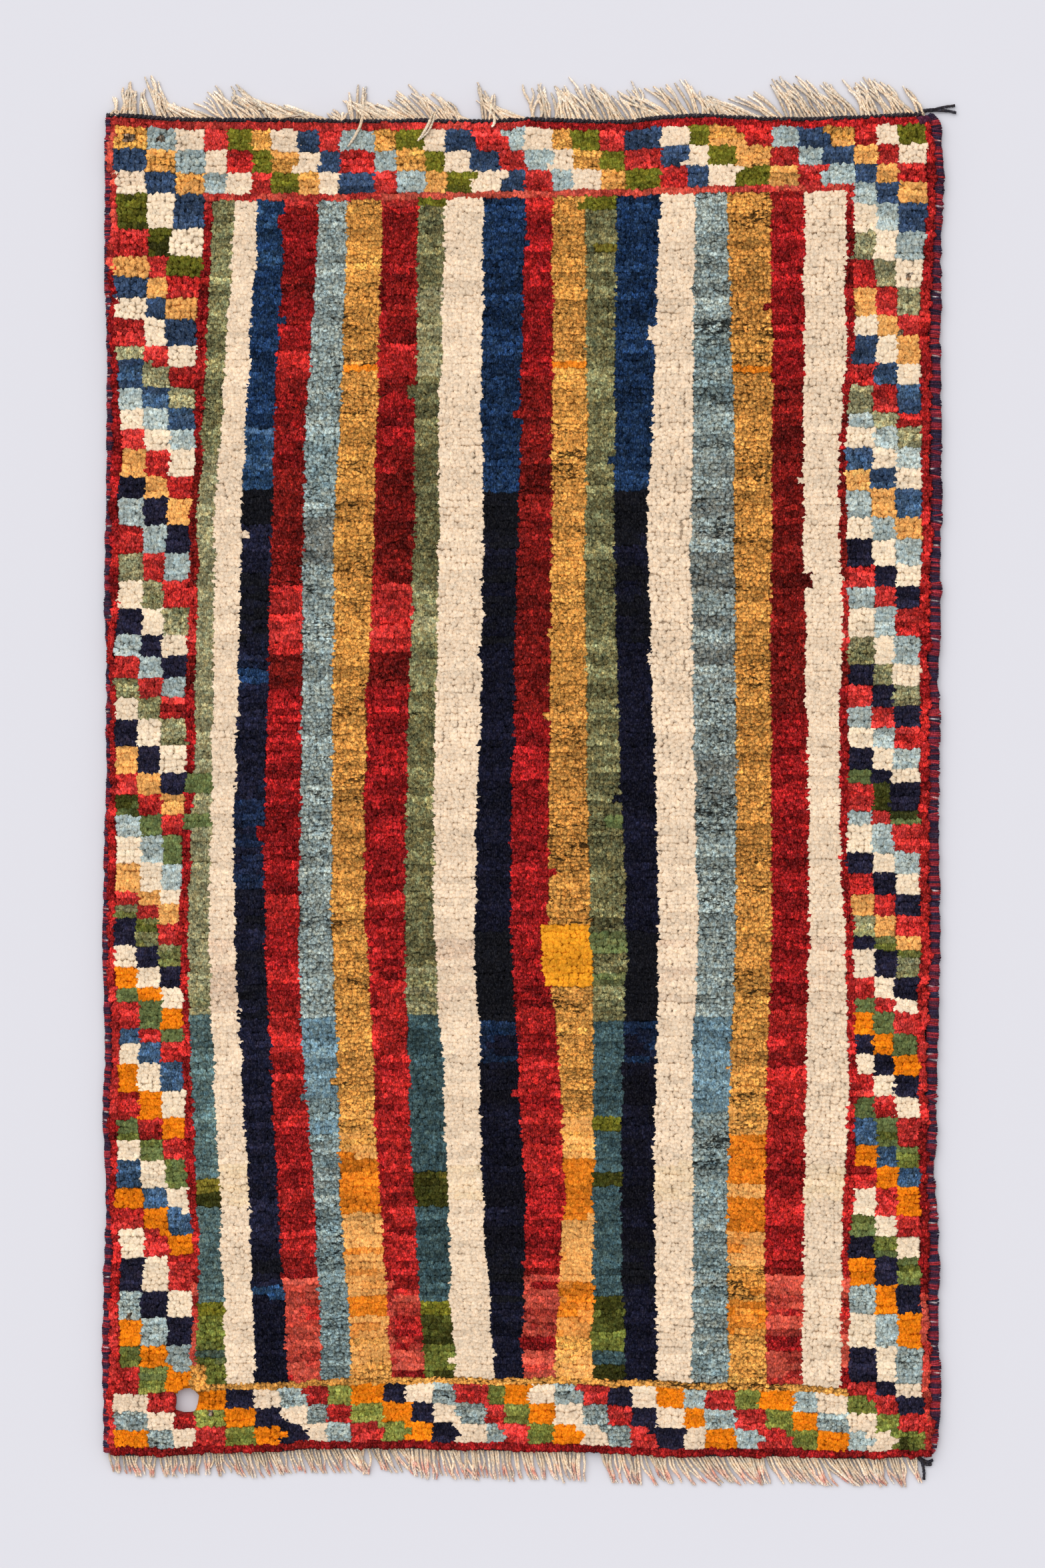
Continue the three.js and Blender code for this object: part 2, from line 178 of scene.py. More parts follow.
# The border's checks: where they start and which way they run, two dyes, and then each check's
# width or height in millimetres and its dye. Each row of checks, or column, is the one before it
# moved on by one, and the two dyes come in first
CHECKS = {
    "top": (-294.6, 1, ("blue", "cream"), (
        "24 gold, 22.5 light_blue, 21 cream, 15 red, 18.5 green, 12.5 gold, 17.5 cream, 16 blue, "
        "17.5 red, 22 light_blue, 18.5 gold, 18.5 green, 17 cream, 19 blue, 22 red, "
        "16 light_blue, 17 cream, 15.5 gold, 19 green, 20.5 red, 24 blue, 18.5 cream, 18 green, "
        "21.5 gold, 21.5 red, 18.5 light_blue, 21 blue, 22 gold, 13.5 red, 18.5 cream, 19 green"
    )),
    "bottom": (-295.1, 1, ("light_blue", "orange"), (
        "27.5 cream, 18.5 red, 16 green, 21 orange, 20.5 navy, 19 cream, 16 light_blue, "
        "16.5 red, 15.5 green, 22.5 orange, 20 navy, 17 cream, 18.5 light_blue, 21 red, "
        "12 green, 20 orange, 18 cream, 18 light_blue, 17.5 red, 18.5 navy, 17 cream, "
        "21.5 orange, 17 light_blue, 19.5 red, 19.5 green, 21.5 orange, 19.5 light_blue, "
        "22 cream, 16.5 green, 16.5 red, 19 navy"
    )),
    "left": (429.4, -1, ("cream", "blue"), (
        "27 green, 18 red, 15 gold, 16 blue, 17.5 cream, 17.5 red, 13.5 sage, 17 blue, "
        "13 light_blue, 18.5 cream, 15.5 red, 17 gold, 16 navy, 21.5 light_blue, 18 red, "
        "18.5 sage, 21.5 cream, 19 navy, 16 light_blue, 13 red, 16 sage, 17 cream, 20 navy, "
        "18.5 gold, 13 red, 14.5 green, 19 light_blue, 18 cream, 18 gold, 11.5 red, 12.5 sage, "
        "18.5 ink, 14 cream, 15.5 orange, 11.5 green, 16.5 red, 10.5 blue, 15.5 cream, "
        "18 orange, 21.5 red, 15 green, 15 cream, 18 blue, 18.5 orange, 15.5 red, 18 cream, "
        "23 navy, 21 light_blue, 19 orange, 18 green, 18 red"
    )),
    "right": (436.6, -1, ("blue", "gold"), (
        "17 light_blue, 20.5 cream, 18 sage, 22 red, 17.5 gold, 19 cream, 18.5 blue, 17 red, "
        "16.5 sage, 13 light_blue, 14.5 cream, 13.5 blue, 15.5 gold, 18 light_blue, 18 cream, "
        "17.5 navy, 17.5 red, 15 light_blue, 18 cream, 20 sage, 17.5 navy, 15.5 red, "
        "13 light_blue, 16 cream, 13.5 navy, 13.5 green, 16.5 red, 12 light_blue, 18 cream, "
        "18 navy, 15 red, 15.5 gold, 12 sage, 13.5 navy, 19.5 cream, 14.5 red, 11.5 green, "
        "12.5 orange, 14.5 ink, 15.5 cream, 15.5 red, 16.5 green, 18 blue, 14.5 orange, "
        "15.5 red, 21 cream, 15 green, 16.5 navy, 21.5 orange, 17.5 light_blue, 27.5 cream, "
        "21.5 navy, 15 red"
    )),
}

# Where the columns of side checks, the guards and the field begin, at each height
LEFT_COLUMNS = [  # height, three columns of checks, guard, field
    (450, -294.8, -271, -250.4, -228.8, -223.1),
    (413, -292.2, -270.1, -250.4, -228.8, -223.1),
    (374.6, -296, -267.7, -255.7, -230.8, -224.5),
    (345.8, -295.6, -270.6, -257.2, -234.1, -226),
    (288.2, -290.8, -273.5, -254.3, -235.6, -228.8),
    (230.6, -287.9, -271.6, -255.2, -236.5, -231.2),
    (201.8, -290.8, -272.5, -255.2, -239.4, -234.1),
    (134.6, -290.8, -273, -258.6, -239.9, -233.2),
    (86.6, -294.1, -275.9, -260, -242.8, -235.1),
    (14.6, -292.7, -277.8, -260.5, -242.3, -235.6),
    (-47.8, -291.7, -274, -258.6, -245.2, -238.9),
    (-105.4, -294.1, -278.3, -262, -246.6, -240.4),
    (-163, -291.2, -277.3, -260, -245.2, -239.9),
    (-256.6, -291.2, -275.9, -259.6, -242.8, -236),
    (-297.4, -293.6, -273, -255.2, -240.4, -234.6),
    (-331, -288.8, -273, -254.8, -236, -232.2),
    (-374.2, -289.8, -274.4, -255.2, -238, -234.6),
    (-412.6, -289.8, -275.4, -256.7, -238.9, -236),
    (-444, -294.6, -276.6, -256.7, -238.9, -236),
]
RIGHT_COLUMNS = [  # height, guard, three columns of checks, outer guard
    (408.2, 233.4, 239.2, 255.5, 271.3, 291),
    (374.6, 233.4, 239.2, 253.6, 268.4, 288.6),
    (336.2, 233.4, 239.6, 256.4, 270.8, 285.7),
    (288.2, 232.4, 235.8, 253.6, 270.4, 287.2),
    (245, 229.6, 232.4, 252.1, 270.4, 288.1),
    (211.4, 227.2, 233.4, 251.6, 268.4, 288.1),
    (139.4, 231, 235.3, 254.5, 269.4, 286.7),
    (86.6, 229.6, 234.8, 253.6, 267, 286.7),
    (38.6, 228.6, 235.3, 252.6, 268.4, 286.7),
    (-9.4, 228.6, 235.8, 252.6, 264.6, 285.7),
    (-52.6, 229.6, 233.9, 252.6, 268.4, 285.7),
    (-100.6, 232.4, 239.2, 254.5, 269.4, 287.2),
    (-177.4, 234.8, 240.1, 253.6, 268.4, 284.3),
    (-215.8, 235.8, 241.1, 253.6, 268.4, 285.7),
    (-249.4, 233.9, 239.2, 255.5, 270.4, 285.7),
    (-292.6, 231.5, 240.1, 255, 269.4, 285.7),
    (-335.8, 230.1, 234.9, 253.6, 270.4, 286.7),
    (-388.6, 230.1, 236.3, 256, 271.3, 288.6),
    (-431.8, 230.1, 234.9, 255.5, 269.4, 288.6),
    (-455, 230.1, 234.9, 255.5, 271.4, 291.8),
]
STRIPE_HEIGHTS = (417.8, 269, 182.6, -9.4, -105.4, -201.4, -297.4, -422.2)
STRIPES = [  # lot, and the left edge at each of those heights
    ("cream", -207.2, -216.4, -222.1, -224, -226, -222.6, -217.8, -213),
    ("left_navy", -190, -199.1, -202, -207.7, -207.2, -202.4, -196.7, -192.8),
    ("red", -170.8, -178.4, -180.8, -185.2, -186.1, -181.3, -175.6, -168.8),
    ("light_blue", -146.3, -155.9, -157.8, -159.7, -162.1, -157.3, -148.2, -145.3),
    ("gold", -126.1, -130.9, -135.7, -136.7, -137.2, -133.3, -130.4, -122.8),
    ("red", -101.2, -104, -106.9, -114.1, -112.7, -106.9, -103.1, -94),
    ("mid_sage", -74.8, -77.2, -77.6, -82.9, -85.3, -81.5, -78.1, -70),
    ("cream", -55.1, -59.4, -59.9, -63.7, -64.2, -57, -53.6, -48.4),
    ("navy", -27.7, -29.6, -26.8, -32, -34.4, -30.6, -28.7, -20.5),
    ("dark_red", 2.5, -0.8, -2.8, -7.6, -8.5, -2.8, 2, 0.6),
    ("gold", 21.7, 21.7, 21.2, 19.3, 18.4, 27, 30.8, 23.2),
    ("right_green", 45.2, 47.2, 45.2, 47.2, 50, 51, 51.5, 50),
    ("navy", 68.3, 66.8, 66.4, 71.2, 76, 72.6, 71.2, 74),
    ("cream", 100, 93.7, 89.9, 96.1, 98.5, 96.1, 95.2, 97.1),
    ("right_light_blue", 124.9, 123, 122, 124.4, 126.8, 123, 124, 122),
    ("right_gold", 148, 153.2, 152.8, 154.7, 153.7, 149.9, 148, 148),
    ("dark_red", 179.6, 180.6, 180.1, 179.2, 180.6, 176.8, 175.3, 175.8),
    ("cream", 203.6, 202.7, 202.2, 207, 207.5, 205.1, 203.6, 201.2),
]
# Small places where the weaver took up other wool, or dirt has stayed: left, right, top, bottom
STRAY_WOOL = [
    ("saffron", 15, 48, -102, -144),
    ("fern", -245, -224, 12, -4.6),
    ("fern", -245, -224, -19, -31),
    ("fern", 57, 70, -19, -31),
    ("coral", -148.5, -143.5, 203, 197),
    ("coral", -145.5, -141, 197, 193),
    ("amber", -240, -229, -417, -436),
    ("forest", 271.5, 281, -470, -478),
    ("dirt", -285, -280.4, 469.5, 465),
    ("plum", 286, 294, 491, 479),
    ("dirt", -262, -257, 468.5, 464),
    ("dirt", -221.5, -216.9, 439.4, 434.7),
    ("dirt", -77.1, -72.4, 451, 446.3),
    ("dirt", 277, 282, 368.4, 363.7),
    ("dirt", 272.9, 277.6, 349.1, 344.5),
    ("dirt", 272.9, 277.6, 330.4, 325.8),
    ("dirt", -226, -221, -448.6, -453.3),
    ("dirt", -283.6, -278.9, -378.5, -383.2),
]
STRAY_KNOTS = 0.012  # the share of rows in which a stripe's edge is a knot further in or out
RAGGED_CHECK = 1.2  # how far the checks' ends stray, in millimetres
# How much of a lot's mixing follows whole rows, how much runs of a few knots, and how sharply its
# two dyes part. Then the same for the lighter and darker bands of one dye
LOT_BY_ROWS, LOT_BY_RUNS, LOT_PARTS = 0.6, 0.4, 2.4
BAND_BY_ROWS, BAND_BY_RUNS, BAND_DEPTH = 0.55, 0.45, 3.6
ROOT_SHADE_LEAST, ROOT_SHADE_MORE = 0.8, 0.4  # the share of painted root shade from row to row
ROOT_SHADE_RIGHT = ((100, 130), (1, 1.06))  # and how it grows over these places across
LINES_SETTLE = 4  # rounds in which the corners of the knots come to lie on both sets of lines
MEASURED_AT = np.linspace(-0.4, 0.4, 9)  # where the widths are read that give each part its knots

chance = np.random.default_rng(1968)
cloth_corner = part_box("end_cord_top")[1]
cloth_middle = np.array(cloth_corner[:2]) - np.array(CORD_TAIL_REACH) * MM
solid_points = np.array([v.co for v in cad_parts["rug_body"].data.vertices])
outline = solid_points[np.abs(solid_points[:, 2] - OUTLINE_LEVEL) < OUTLINE_WITHIN][:, :2]
hole_middle = np.array(HOLE) * MM + cloth_middle
of_hole = np.linalg.norm(outline - hole_middle, axis=1) < HOLE_SEARCH * MM
hole_rim = outline[of_hole] - hole_middle
hole_rim = hole_rim[np.argsort(np.arctan2(hole_rim[:, 1], hole_rim[:, 0]))]


def side_of_cloth(first, last, run):
    """The outline from one corner round to the next, as a curve along x, or y where run is 1."""
    points = outline[~of_hole] - cloth_middle
    turn = np.arctan2(points[:, 1], points[:, 0])
    start, end = (turn[np.argmax(points @ corner)] for corner in (first, last))
    between = (turn - start) % (2 * math.pi) <= (end - start) % (2 * math.pi)
    side = points[between] + cloth_middle
    side = side[np.argsort(side[:, run])]
    return lambda at: np.interp(at, side[:, run], side[:, 1 - run])


right_side = side_of_cloth((1, -1), (1, 1), 1)
top_side = side_of_cloth((1, 1), (-1, 1), 0)
left_side = side_of_cloth((-1, 1), (-1, -1), 1)
bottom_side = side_of_cloth((-1, -1), (1, -1), 0)


def seam(points, run=0):
    """A line of the chart, its points in millimetres, as a curve along x, or y where run is 1."""
    along, reach = np.array(points).T * MM
    return lambda at: np.interp(at, along + cloth_middle[run], reach + cloth_middle[1 - run])


def chart_lines():
    """The lines between stripes, guards and columns of checks, each a curve of x along y."""
    stripes = np.array([STRIPE_HEIGHTS] + [stripe[1:] for stripe in STRIPES])
    lines = [left_side]
    for heights, *table in (np.array(LEFT_COLUMNS).T, stripes, np.array(RIGHT_COLUMNS).T):
        lines += [seam(np.column_stack([heights, places])[::-1], run=1) for places in table]
    return lines + [right_side]


def knot_corners(lines, starts):
    """The corners between all knots, rows from the top, with the warps bent to the lines."""
    seams = (top_side, seam(FIELD_TOP), seam(FIELD_BOTTOM), bottom_side)
    stations = np.array([0, BORDER_ROWS, BORDER_ROWS + FIELD_ROWS, ROWS])
    row = np.arange(ROWS + 1)
    zone = np.clip(np.searchsorted(stations, row, side="right") - 1, 0, 2)
    share = ((row - stations[zone]) / (stations[zone + 1] - stations[zone]))[:, None]
    warps = np.arange(starts[-1] + 1)
    x = np.tile(np.interp(warps, starts, [line(0) for line in lines]), (ROWS + 1, 1))
    for _ in range(LINES_SETTLE):
        heights = np.stack([line(x) for line in seams])
        y = heights[zone, row] * (1 - share) + heights[zone + 1, row] * share
        edges = np.stack([line(y[:, start]) for line, start in zip(lines, starts)], axis=1)
        x = np.stack([np.interp(warps, starts, edge) for edge in edges])
    return np.stack([x, y], axis=-1)


def read_checks(start, way, lead, text):
    """Where each check begins along its border, which way they run, and the two dyes and the rest."""
    sizes, dyes = zip(*(item.split() for item in text.split(", ")))
    return start + way * np.cumsum([0.0] + [float(s) for s in sizes]), way, lead, dyes


def check_at(place, step, begins, way, lead, dyes):
    """The dye of the check at a place, in the row of checks that is moved on by step."""
    number = int(np.searchsorted(begins * way, place * way, side="right")) - 1
    number = min(max(number, 0), len(dyes) - 1) - step
    name = dyes[number] if number >= 0 else lead[-1 - number]
    return "check_" + name if "check_" + name in LOTS else name


def held_noise(rows, count, longest):
    """Numbers from 0 to 1 for each row and line, each held for one row or up to the longest."""
    values = np.empty((rows, count))
    for line in range(count):
        row = 0
        while row < rows:
            hold = int(chance.integers(1, longest + 1))
            values[row : row + hold, line] = chance.random()
            row += hold
    return values


def plan_names(places):
    """The name of the lot or dye of every knot, from its place in millimetres."""
    checks = {border: read_checks(*row) for border, row in CHECKS.items()}
    check_shift = (held_noise(ROWS, 2, 2) - 0.5) * 2 * RAGGED_CHECK
    strays = held_noise(ROWS, len(starts), 2)
    strays = (strays > 1 - STRAY_KNOTS / 2).astype(int) - (strays < STRAY_KNOTS / 2)
    strays[:, : FIRST_STRIPE + 1] = strays[:, -FIRST_STRIPE - 1 :] = 0
    last = len(starts) - 2
    names = np.empty(places.shape[:2], dtype=object)
    for row in range(ROWS):
        begins = starts[1:-1] + strays[row, 1:-1]
        from_bottom = ROWS - 1 - row
        for column in range(COLUMNS):
            x, y = places[row, column]
            part = int(np.searchsorted(begins, column, side="right"))
            inside = INNER_GUARD <= part <= last - INNER_GUARD
            if row == 0:
                name = "top_guard" if x < 0 else "top_guard_right"
            elif from_bottom == 0:
                name = "bottom_guard"
            elif column in (0, COLUMNS - 1):
                name = "left_guard" if column == 0 else "right_guard"
            elif row < BORDER_ROWS - 1:
                step = (row - 1) // CHECK_ROWS
                name = check_at(x + check_shift[row, 0], step, *checks["top"])
            elif from_bottom < BORDER_ROWS - 1:
                step = CHECK_ROWS - 1 - (from_bottom - 1) // CHECK_ROWS
                name = check_at(x + check_shift[row, 1], step, *checks["bottom"])
            elif row == BORDER_ROWS - 1 and inside:
                name = "top_inner_guard"
            elif from_bottom == BORDER_ROWS - 1 and inside:
                name = "bottom_inner_guard"
            elif part in (0, INNER_GUARD, last - INNER_GUARD, last):
                name = "red"
            elif part < INNER_GUARD:
                name = check_at(y, part - 1, *checks["left"])
            elif part > last - INNER_GUARD:
                name = check_at(y, part - (last - INNER_GUARD) - 1, *checks["right"])
            else:
                name = "sage" if part == FIRST_STRIPE else STRIPES[part - FIRST_STRIPE - 1][0]
            names[row, column] = name
    for name, low_x, high_x, high_y, low_y in STRAY_WOOL:
        x, y = places[..., 0], places[..., 1]
        names[(x > low_x) & (x < high_x) & (y > low_y) & (y < high_y)] = name
    return names


def daylight(red, green, blue):
    """A colour in linear light, from the figures by which screens show it."""
    shown = np.array([red, green, blue]) / 255
    return np.where(shown <= 0.04045, shown / 12.92, ((shown + 0.055) / 1.055) ** 2.4)


def dyed(names, places):
    """Colour, unevenness and share of painted root shade (which also sets the dark specks) of every
    knot, lot by lot down the rug.
    """
    figures = {name: np.append(daylight(*row[:3]), row[3:]) for name, row in DYES.items()}
    lots = {}
    for name, text in LOTS.items():
        starts, dyes = zip(*(item.split() for item in text.split(", ")))
        lots[name] = (np.array([float(s) for s in starts]), [d.split("|") for d in dyes])
    groups = {name: number for number, name in enumerate(sorted(set(names.ravel())))}
    thirds = 3  # each lot changes on its own in the left, middle and right third of the rug
    of_rows = [held_noise(ROWS, len(groups) * thirds, longest) for longest in (3, 2)]
    of_runs = [held_noise(COLUMNS, ROWS, longest).T for longest in (5, 3)]
    # painted root shade: how much of it each row shows
    root_shade_rows = held_noise(ROWS, len(groups) * thirds, 2)
    wool = np.empty(places.shape[:2] + (5,))
    for (row, column), name in np.ndenumerate(names):
        y = places[row, column, 1]
        line = groups[name] * thirds + int(column // (COLUMNS / thirds))
        if name in lots:
            starts, dyes = lots[name]
            pair = dyes[max(int((starts >= y).sum()) - 1, 0)]
            share = LOT_BY_ROWS * of_rows[0][row, line] + LOT_BY_RUNS * of_runs[0][row, column]
            share = min(max((share - 0.5) * LOT_PARTS + 0.5, 0), 1)
            wool[row, column] = figures[pair[0]] * (1 - share) + figures[pair[-1]] * share
        else:
            wool[row, column] = figures[name]
        band = BAND_BY_ROWS * of_rows[1][row, line] + BAND_BY_RUNS * of_runs[1][row, column] - 0.5
        wool[row, column, :3] *= math.exp(band * BAND_DEPTH * wool[row, column, 3])
        wool[row, column, 4] *= ROOT_SHADE_LEAST + ROOT_SHADE_MORE * root_shade_rows[row, line] ** 2
        wool[row, column, 4] *= np.interp(places[row, column, 0], *ROOT_SHADE_RIGHT)
    return wool


lines = chart_lines()
spans = np.diff([line(MEASURED_AT).mean() for line in lines])
starts = np.cumsum([0] + [max(1, round(span / KNOT_WIDTH)) for span in spans])
COLUMNS = int(starts[-1])
corners = knot_corners(lines, starts)
knots = (corners[:-1, :-1] + corners[1:, :-1] + corners[:-1, 1:] + corners[1:, 1:]) / 4
chart_places = (knots - cloth_middle) / MM
lot_names = plan_names(chart_places)
wool_of_knots = dyed(lot_names, chart_places)


def hole_reach(points):
    """How far each point lies from the worn hole's middle, and how far the hole reaches there."""
    out = points - hole_middle
    turn = np.arctan2(out[..., 1], out[..., 0])
    rim_turn = np.arctan2(hole_rim[:, 1], hole_rim[:, 0])
    rim_reach = np.linalg.norm(hole_rim, axis=1)
    return np.linalg.norm(out, axis=-1), np.interp(turn, rim_turn, rim_reach, period=2 * math.pi)


distance, reach = hole_reach(knots)
kept = distance > reach + HOLE_FACE_CLEAR
piled = distance > reach + HOLE_EDGE_CLEAR


# The ground: undyed wool warps, with wefts beaten down hard between the rows of knots. One firm
# cloth, on whose underside each knot shows its dye. The worn hole goes right through it.

GROUND_THICK = 7.2 * MM
RIM_REACH = 2.7 * MM  # corners this near to the hole's rim are drawn to it
RIM_GAP = 0.3 * MM
WARP_BEIGE = daylight(196, 168, 124)
WARP_PAINTED_SHADE = 0.5  # painted shade: the warps between the knots' backs are drawn this light against their own colour
WEFT_SUNK = 0.42  # where a back's nubs are lower than this, the undyed warps show
GROUND_PAINTED_SHADE = 0.6  # painted shade: the ground's upper side, under the pile, is drawn this light against its dye
# The layout for baking: the upper side, the underside to its right, and the walls in a strip above
BAKE_MARGIN = 0.02
BAKE_SIDE_WIDTH = 0.46
BAKE_HEIGHT = 0.8
BAKE_UNDERSIDE = 0.5
BAKE_WALLS = 0.9
BAKE_WALL_HEIGHT = 0.04
BAKE_WALL_RUN = 0.94
BAKE_WALL_SHARE = 0.9


class NodeSheet:
    """A node tree to write on: add() places a node and feeds it, and calc() reckons with sockets."""

    def __init__(self, tree):
        self.tree = tree

    def feed(self, node, values):
        """Sets inputs by name or number, each to a value or to another node's socket."""
        free = [s for s in node.inputs if not s.is_unavailable]
        for name, value in values.items():
            socket = free[name] if isinstance(name, int) else next(s for s in free if s.name == name)
            if isinstance(value, bpy.types.NodeSocket):
                self.tree.links.new(value, socket)
            else:
                socket.default_value = value

    def add(self, kind, values=None, **settings):
        node = self.tree.nodes.new(kind)
        for name, value in settings.items():
            setattr(node, name, value)
        self.feed(node, values or {})
        return node

    def get(self, kind, values=None, **settings):
        """The first output in use of a new node."""
        node = self.add(kind, values, **settings)
        return next(s for s in node.outputs if not s.is_unavailable)

    def calc(self, operation, *values, clamp=False):
        settings = {"operation": operation, "use_clamp": clamp}
        return self.get("ShaderNodeMath", dict(enumerate(values)), **settings)

    def vector(self, operation, *values):
        return self.get("ShaderNodeVectorMath", dict(enumerate(values)), operation=operation)

    def times(self, colour, value):
        """A colour made lighter or darker, or a vector made longer or shorter, by a value."""
        return self.get("ShaderNodeVectorMath", {0: colour, "Scale": value}, operation="SCALE")

    def point(self, x=0.0, y=0.0, z=0.0):
        return self.get("ShaderNodeCombineXYZ", {"X": x, "Y": y, "Z": z})

    def parts(self, vector):
        """A vector's X, Y and Z."""
        return self.add("ShaderNodeSeparateXYZ", {0: vector}).outputs

    def noise(self, place, scale, detail=2.0, **more):
        return self.get("ShaderNodeTexNoise", {
            "Vector": place, "Scale": scale, "Detail": detail, **more,
        })

    def spread(self, value, low, high, to_low, to_high):
        """A value from one span laid over another, and held at its ends."""
        return self.get("ShaderNodeMapRange", {
            "Value": value, "From Min": low, "From Max": high, "To Min": to_low, "To Max": to_high,
        })

    def mix(self, share, first, second):
        """From the first colour to the second by the share."""
        return self.get("ShaderNodeMix", {0: share, 1: first, 2: second}, data_type="RGBA")

    def read(self, name, output="Fac"):
        """A piece's own attribute in a material."""
        return self.add("ShaderNodeAttribute", attribute_name=name).outputs[output]


# How the wool's colour varies: from warm to cool, from lock to lock and from fibre to fibre, with a
# painted highlight on the lighter fibres
WOOL_WARMTH = 2.4
LOCK_TONE = 2.2
FIBRE_TONE = 2.4
# painted highlight: this much light is added to all three colours where the fibres are lighter
FIBRE_PAINTED_HIGHLIGHT = 0.013
LOWER_PAINTED_SHADE = 0.15  # painted shade: the lower half of a lock is drawn darker by this
# Painted shade at the roots between the curls, and dark specks in dashes: their level, edge and depth
ROOT_SHADE_FROM, ROOT_SHADE_EDGE, ROOT_SHADE_DARK = 0.68, 9.0, 0.72
SPECKS_FROM, SPECKS_EDGE, SPECKS_DARK = 0.84, 14.0, 0.86


def heathered_wool_group():
    """Wool as it is spun by hand: locks differ, painted shade darkens the roots and the lower half of
    each lock, and fine fibres stand out with a painted highlight.
    """
    tree = bpy.data.node_groups.new("heathered wool", "ShaderNodeTree")
    for name, kind in {
        "Dye": "Color", "Unevenness": "Float", "Root Shade and Specks": "Float", "Fleck": "Float",
        "Rise": "Float", "Fibre Scale": "Float",
    }.items():
        tree.interface.new_socket(name, in_out="INPUT", socket_type="NodeSocket" + kind)
    tree.interface.new_socket("Colour", in_out="OUTPUT", socket_type="NodeSocketColor")
    tree.interface.new_socket("Height", in_out="OUTPUT", socket_type="NodeSocketFloat")
    sheet = NodeSheet(tree)
    given = sheet.add("NodeGroupInput").outputs
    place = sheet.add("ShaderNodeTexCoord").outputs["Object"]

    along_lock = sheet.vector("MULTIPLY", place, (1, 0.4, 0.6))
    fibres = sheet.noise(along_lock, given["Fibre Scale"], 3.0, Roughness=0.6)
    strands = sheet.spread(fibres, 0.3, 0.7, -1.0, 1.0)
    patches = sheet.noise(place, 380.0)
    warmth = sheet.calc("MULTIPLY", sheet.calc("SUBTRACT", patches, 0.5), given["Unevenness"])
    warmth = sheet.calc("MULTIPLY", warmth, WOOL_WARMTH)
    warmed = sheet.point(sheet.calc("ADD", 1.0, warmth), 1.0, sheet.calc("SUBTRACT", 1.0, warmth))
    lock = sheet.calc("MULTIPLY", sheet.calc("SUBTRACT", given["Fleck"], 0.5), given["Unevenness"])
    lock = sheet.calc("MULTIPLY", lock, LOCK_TONE)
    fibre = sheet.calc("MULTIPLY", strands, given["Unevenness"])
    tone = sheet.calc("ADD", lock, sheet.calc("MULTIPLY", fibre, FIBRE_TONE))
    tone = sheet.calc("EXPONENT", tone)
    # painted highlight: the lighter fibres get a little light added to their colour
    painted_highlight = sheet.calc("MULTIPLY", sheet.calc("MAXIMUM", strands, 0.0), FIBRE_PAINTED_HIGHLIGHT)

    upper = sheet.spread(given["Rise"], 0.5, 0.85, 0.0, 1.0)
    # painted shade: the roots between the curls are drawn dark, on the lower part of each lock only
    curls = sheet.noise(place, 330.0, Distortion=1.5)
    roots = sheet.calc("SUBTRACT", sheet.calc("ADD", curls, given["Root Shade and Specks"]), ROOT_SHADE_FROM)
    roots = sheet.calc("MULTIPLY", roots, ROOT_SHADE_EDGE, clamp=True)
    roots = sheet.calc("MULTIPLY", roots, sheet.calc("SUBTRACT", 1.0, upper))
    tone = sheet.calc("MULTIPLY", tone, sheet.calc("MULTIPLY_ADD", roots, -ROOT_SHADE_DARK, 1.0))
    # painted shade: the lower half of each lock is drawn darker
    shade = sheet.calc("MULTIPLY_ADD", upper, LOWER_PAINTED_SHADE, 1.0 - LOWER_PAINTED_SHADE)
    tone = sheet.calc("MULTIPLY", tone, shade)

    # Dark specks in dashes, more of them in large noise patches and where the knot's share of root
    # shade is high
    dashes = sheet.noise(sheet.vector("MULTIPLY", place, (1.0, 2.2, 0.4)), 180.0, Distortion=1.0)
    speck_patches = sheet.calc("MULTIPLY_ADD", sheet.noise(place, 24.0), 2.0, -0.25)
    speck_patches = sheet.calc("MULTIPLY", given["Root Shade and Specks"], speck_patches)
    specks = sheet.calc("SUBTRACT", sheet.calc("ADD", dashes, speck_patches), SPECKS_FROM)
    specks = sheet.calc("MULTIPLY", specks, SPECKS_EDGE, clamp=True)
    tone = sheet.calc("MULTIPLY", tone, sheet.calc("MULTIPLY_ADD", specks, -SPECKS_DARK, 1.0))

    dye = sheet.vector("MULTIPLY", given["Dye"], warmed)
    colour = sheet.vector("ADD", sheet.times(dye, tone), sheet.point(painted_highlight, painted_highlight, painted_highlight))
    sheet.add("NodeGroupOutput", {"Colour": colour, "Height": fibres})
    return tree


heathered_wool = heathered_wool_group()


def wool_material(name, fibre_scale, bump, rise=1.0, soft=0.0):
    """A matt wool whose dye is the piece's own attribute. Soft wool is lit as if it stood upright."""
    material = bpy.data.materials.new(name)
    material.use_nodes = True
    sheet = NodeSheet(material.node_tree)
    wool = sheet.add("ShaderNodeGroup", {
        "Dye": sheet.read("Dye", "Color"),
        "Unevenness": sheet.read("Unevenness"),
        "Root Shade and Specks": sheet.read("Root Shade and Specks"),
        "Fleck": sheet.read("Fleck"),
        "Rise": sheet.read("Rise") if rise is None else rise,
        "Fibre Scale": fibre_scale,
    }, node_tree=heathered_wool)
    facing = sheet.times(sheet.add("ShaderNodeNewGeometry").outputs["Normal"], 1 - soft)
    facing = sheet.vector("NORMALIZE", sheet.vector("ADD", facing, (0, 0, soft)))
    relief = sheet.get("ShaderNodeBump", {
        "Height": wool.outputs["Height"], "Strength": 0.6, "Distance": bump, "Normal": facing,
    })
    sheet.feed(material.node_tree.nodes["Principled BSDF"], {
        "Base Color": wool.outputs["Colour"], "Roughness": 0.95, "Normal": relief,
        "Specular IOR Level": 0.03, "Sheen Weight": 0.02,
    })
    return material


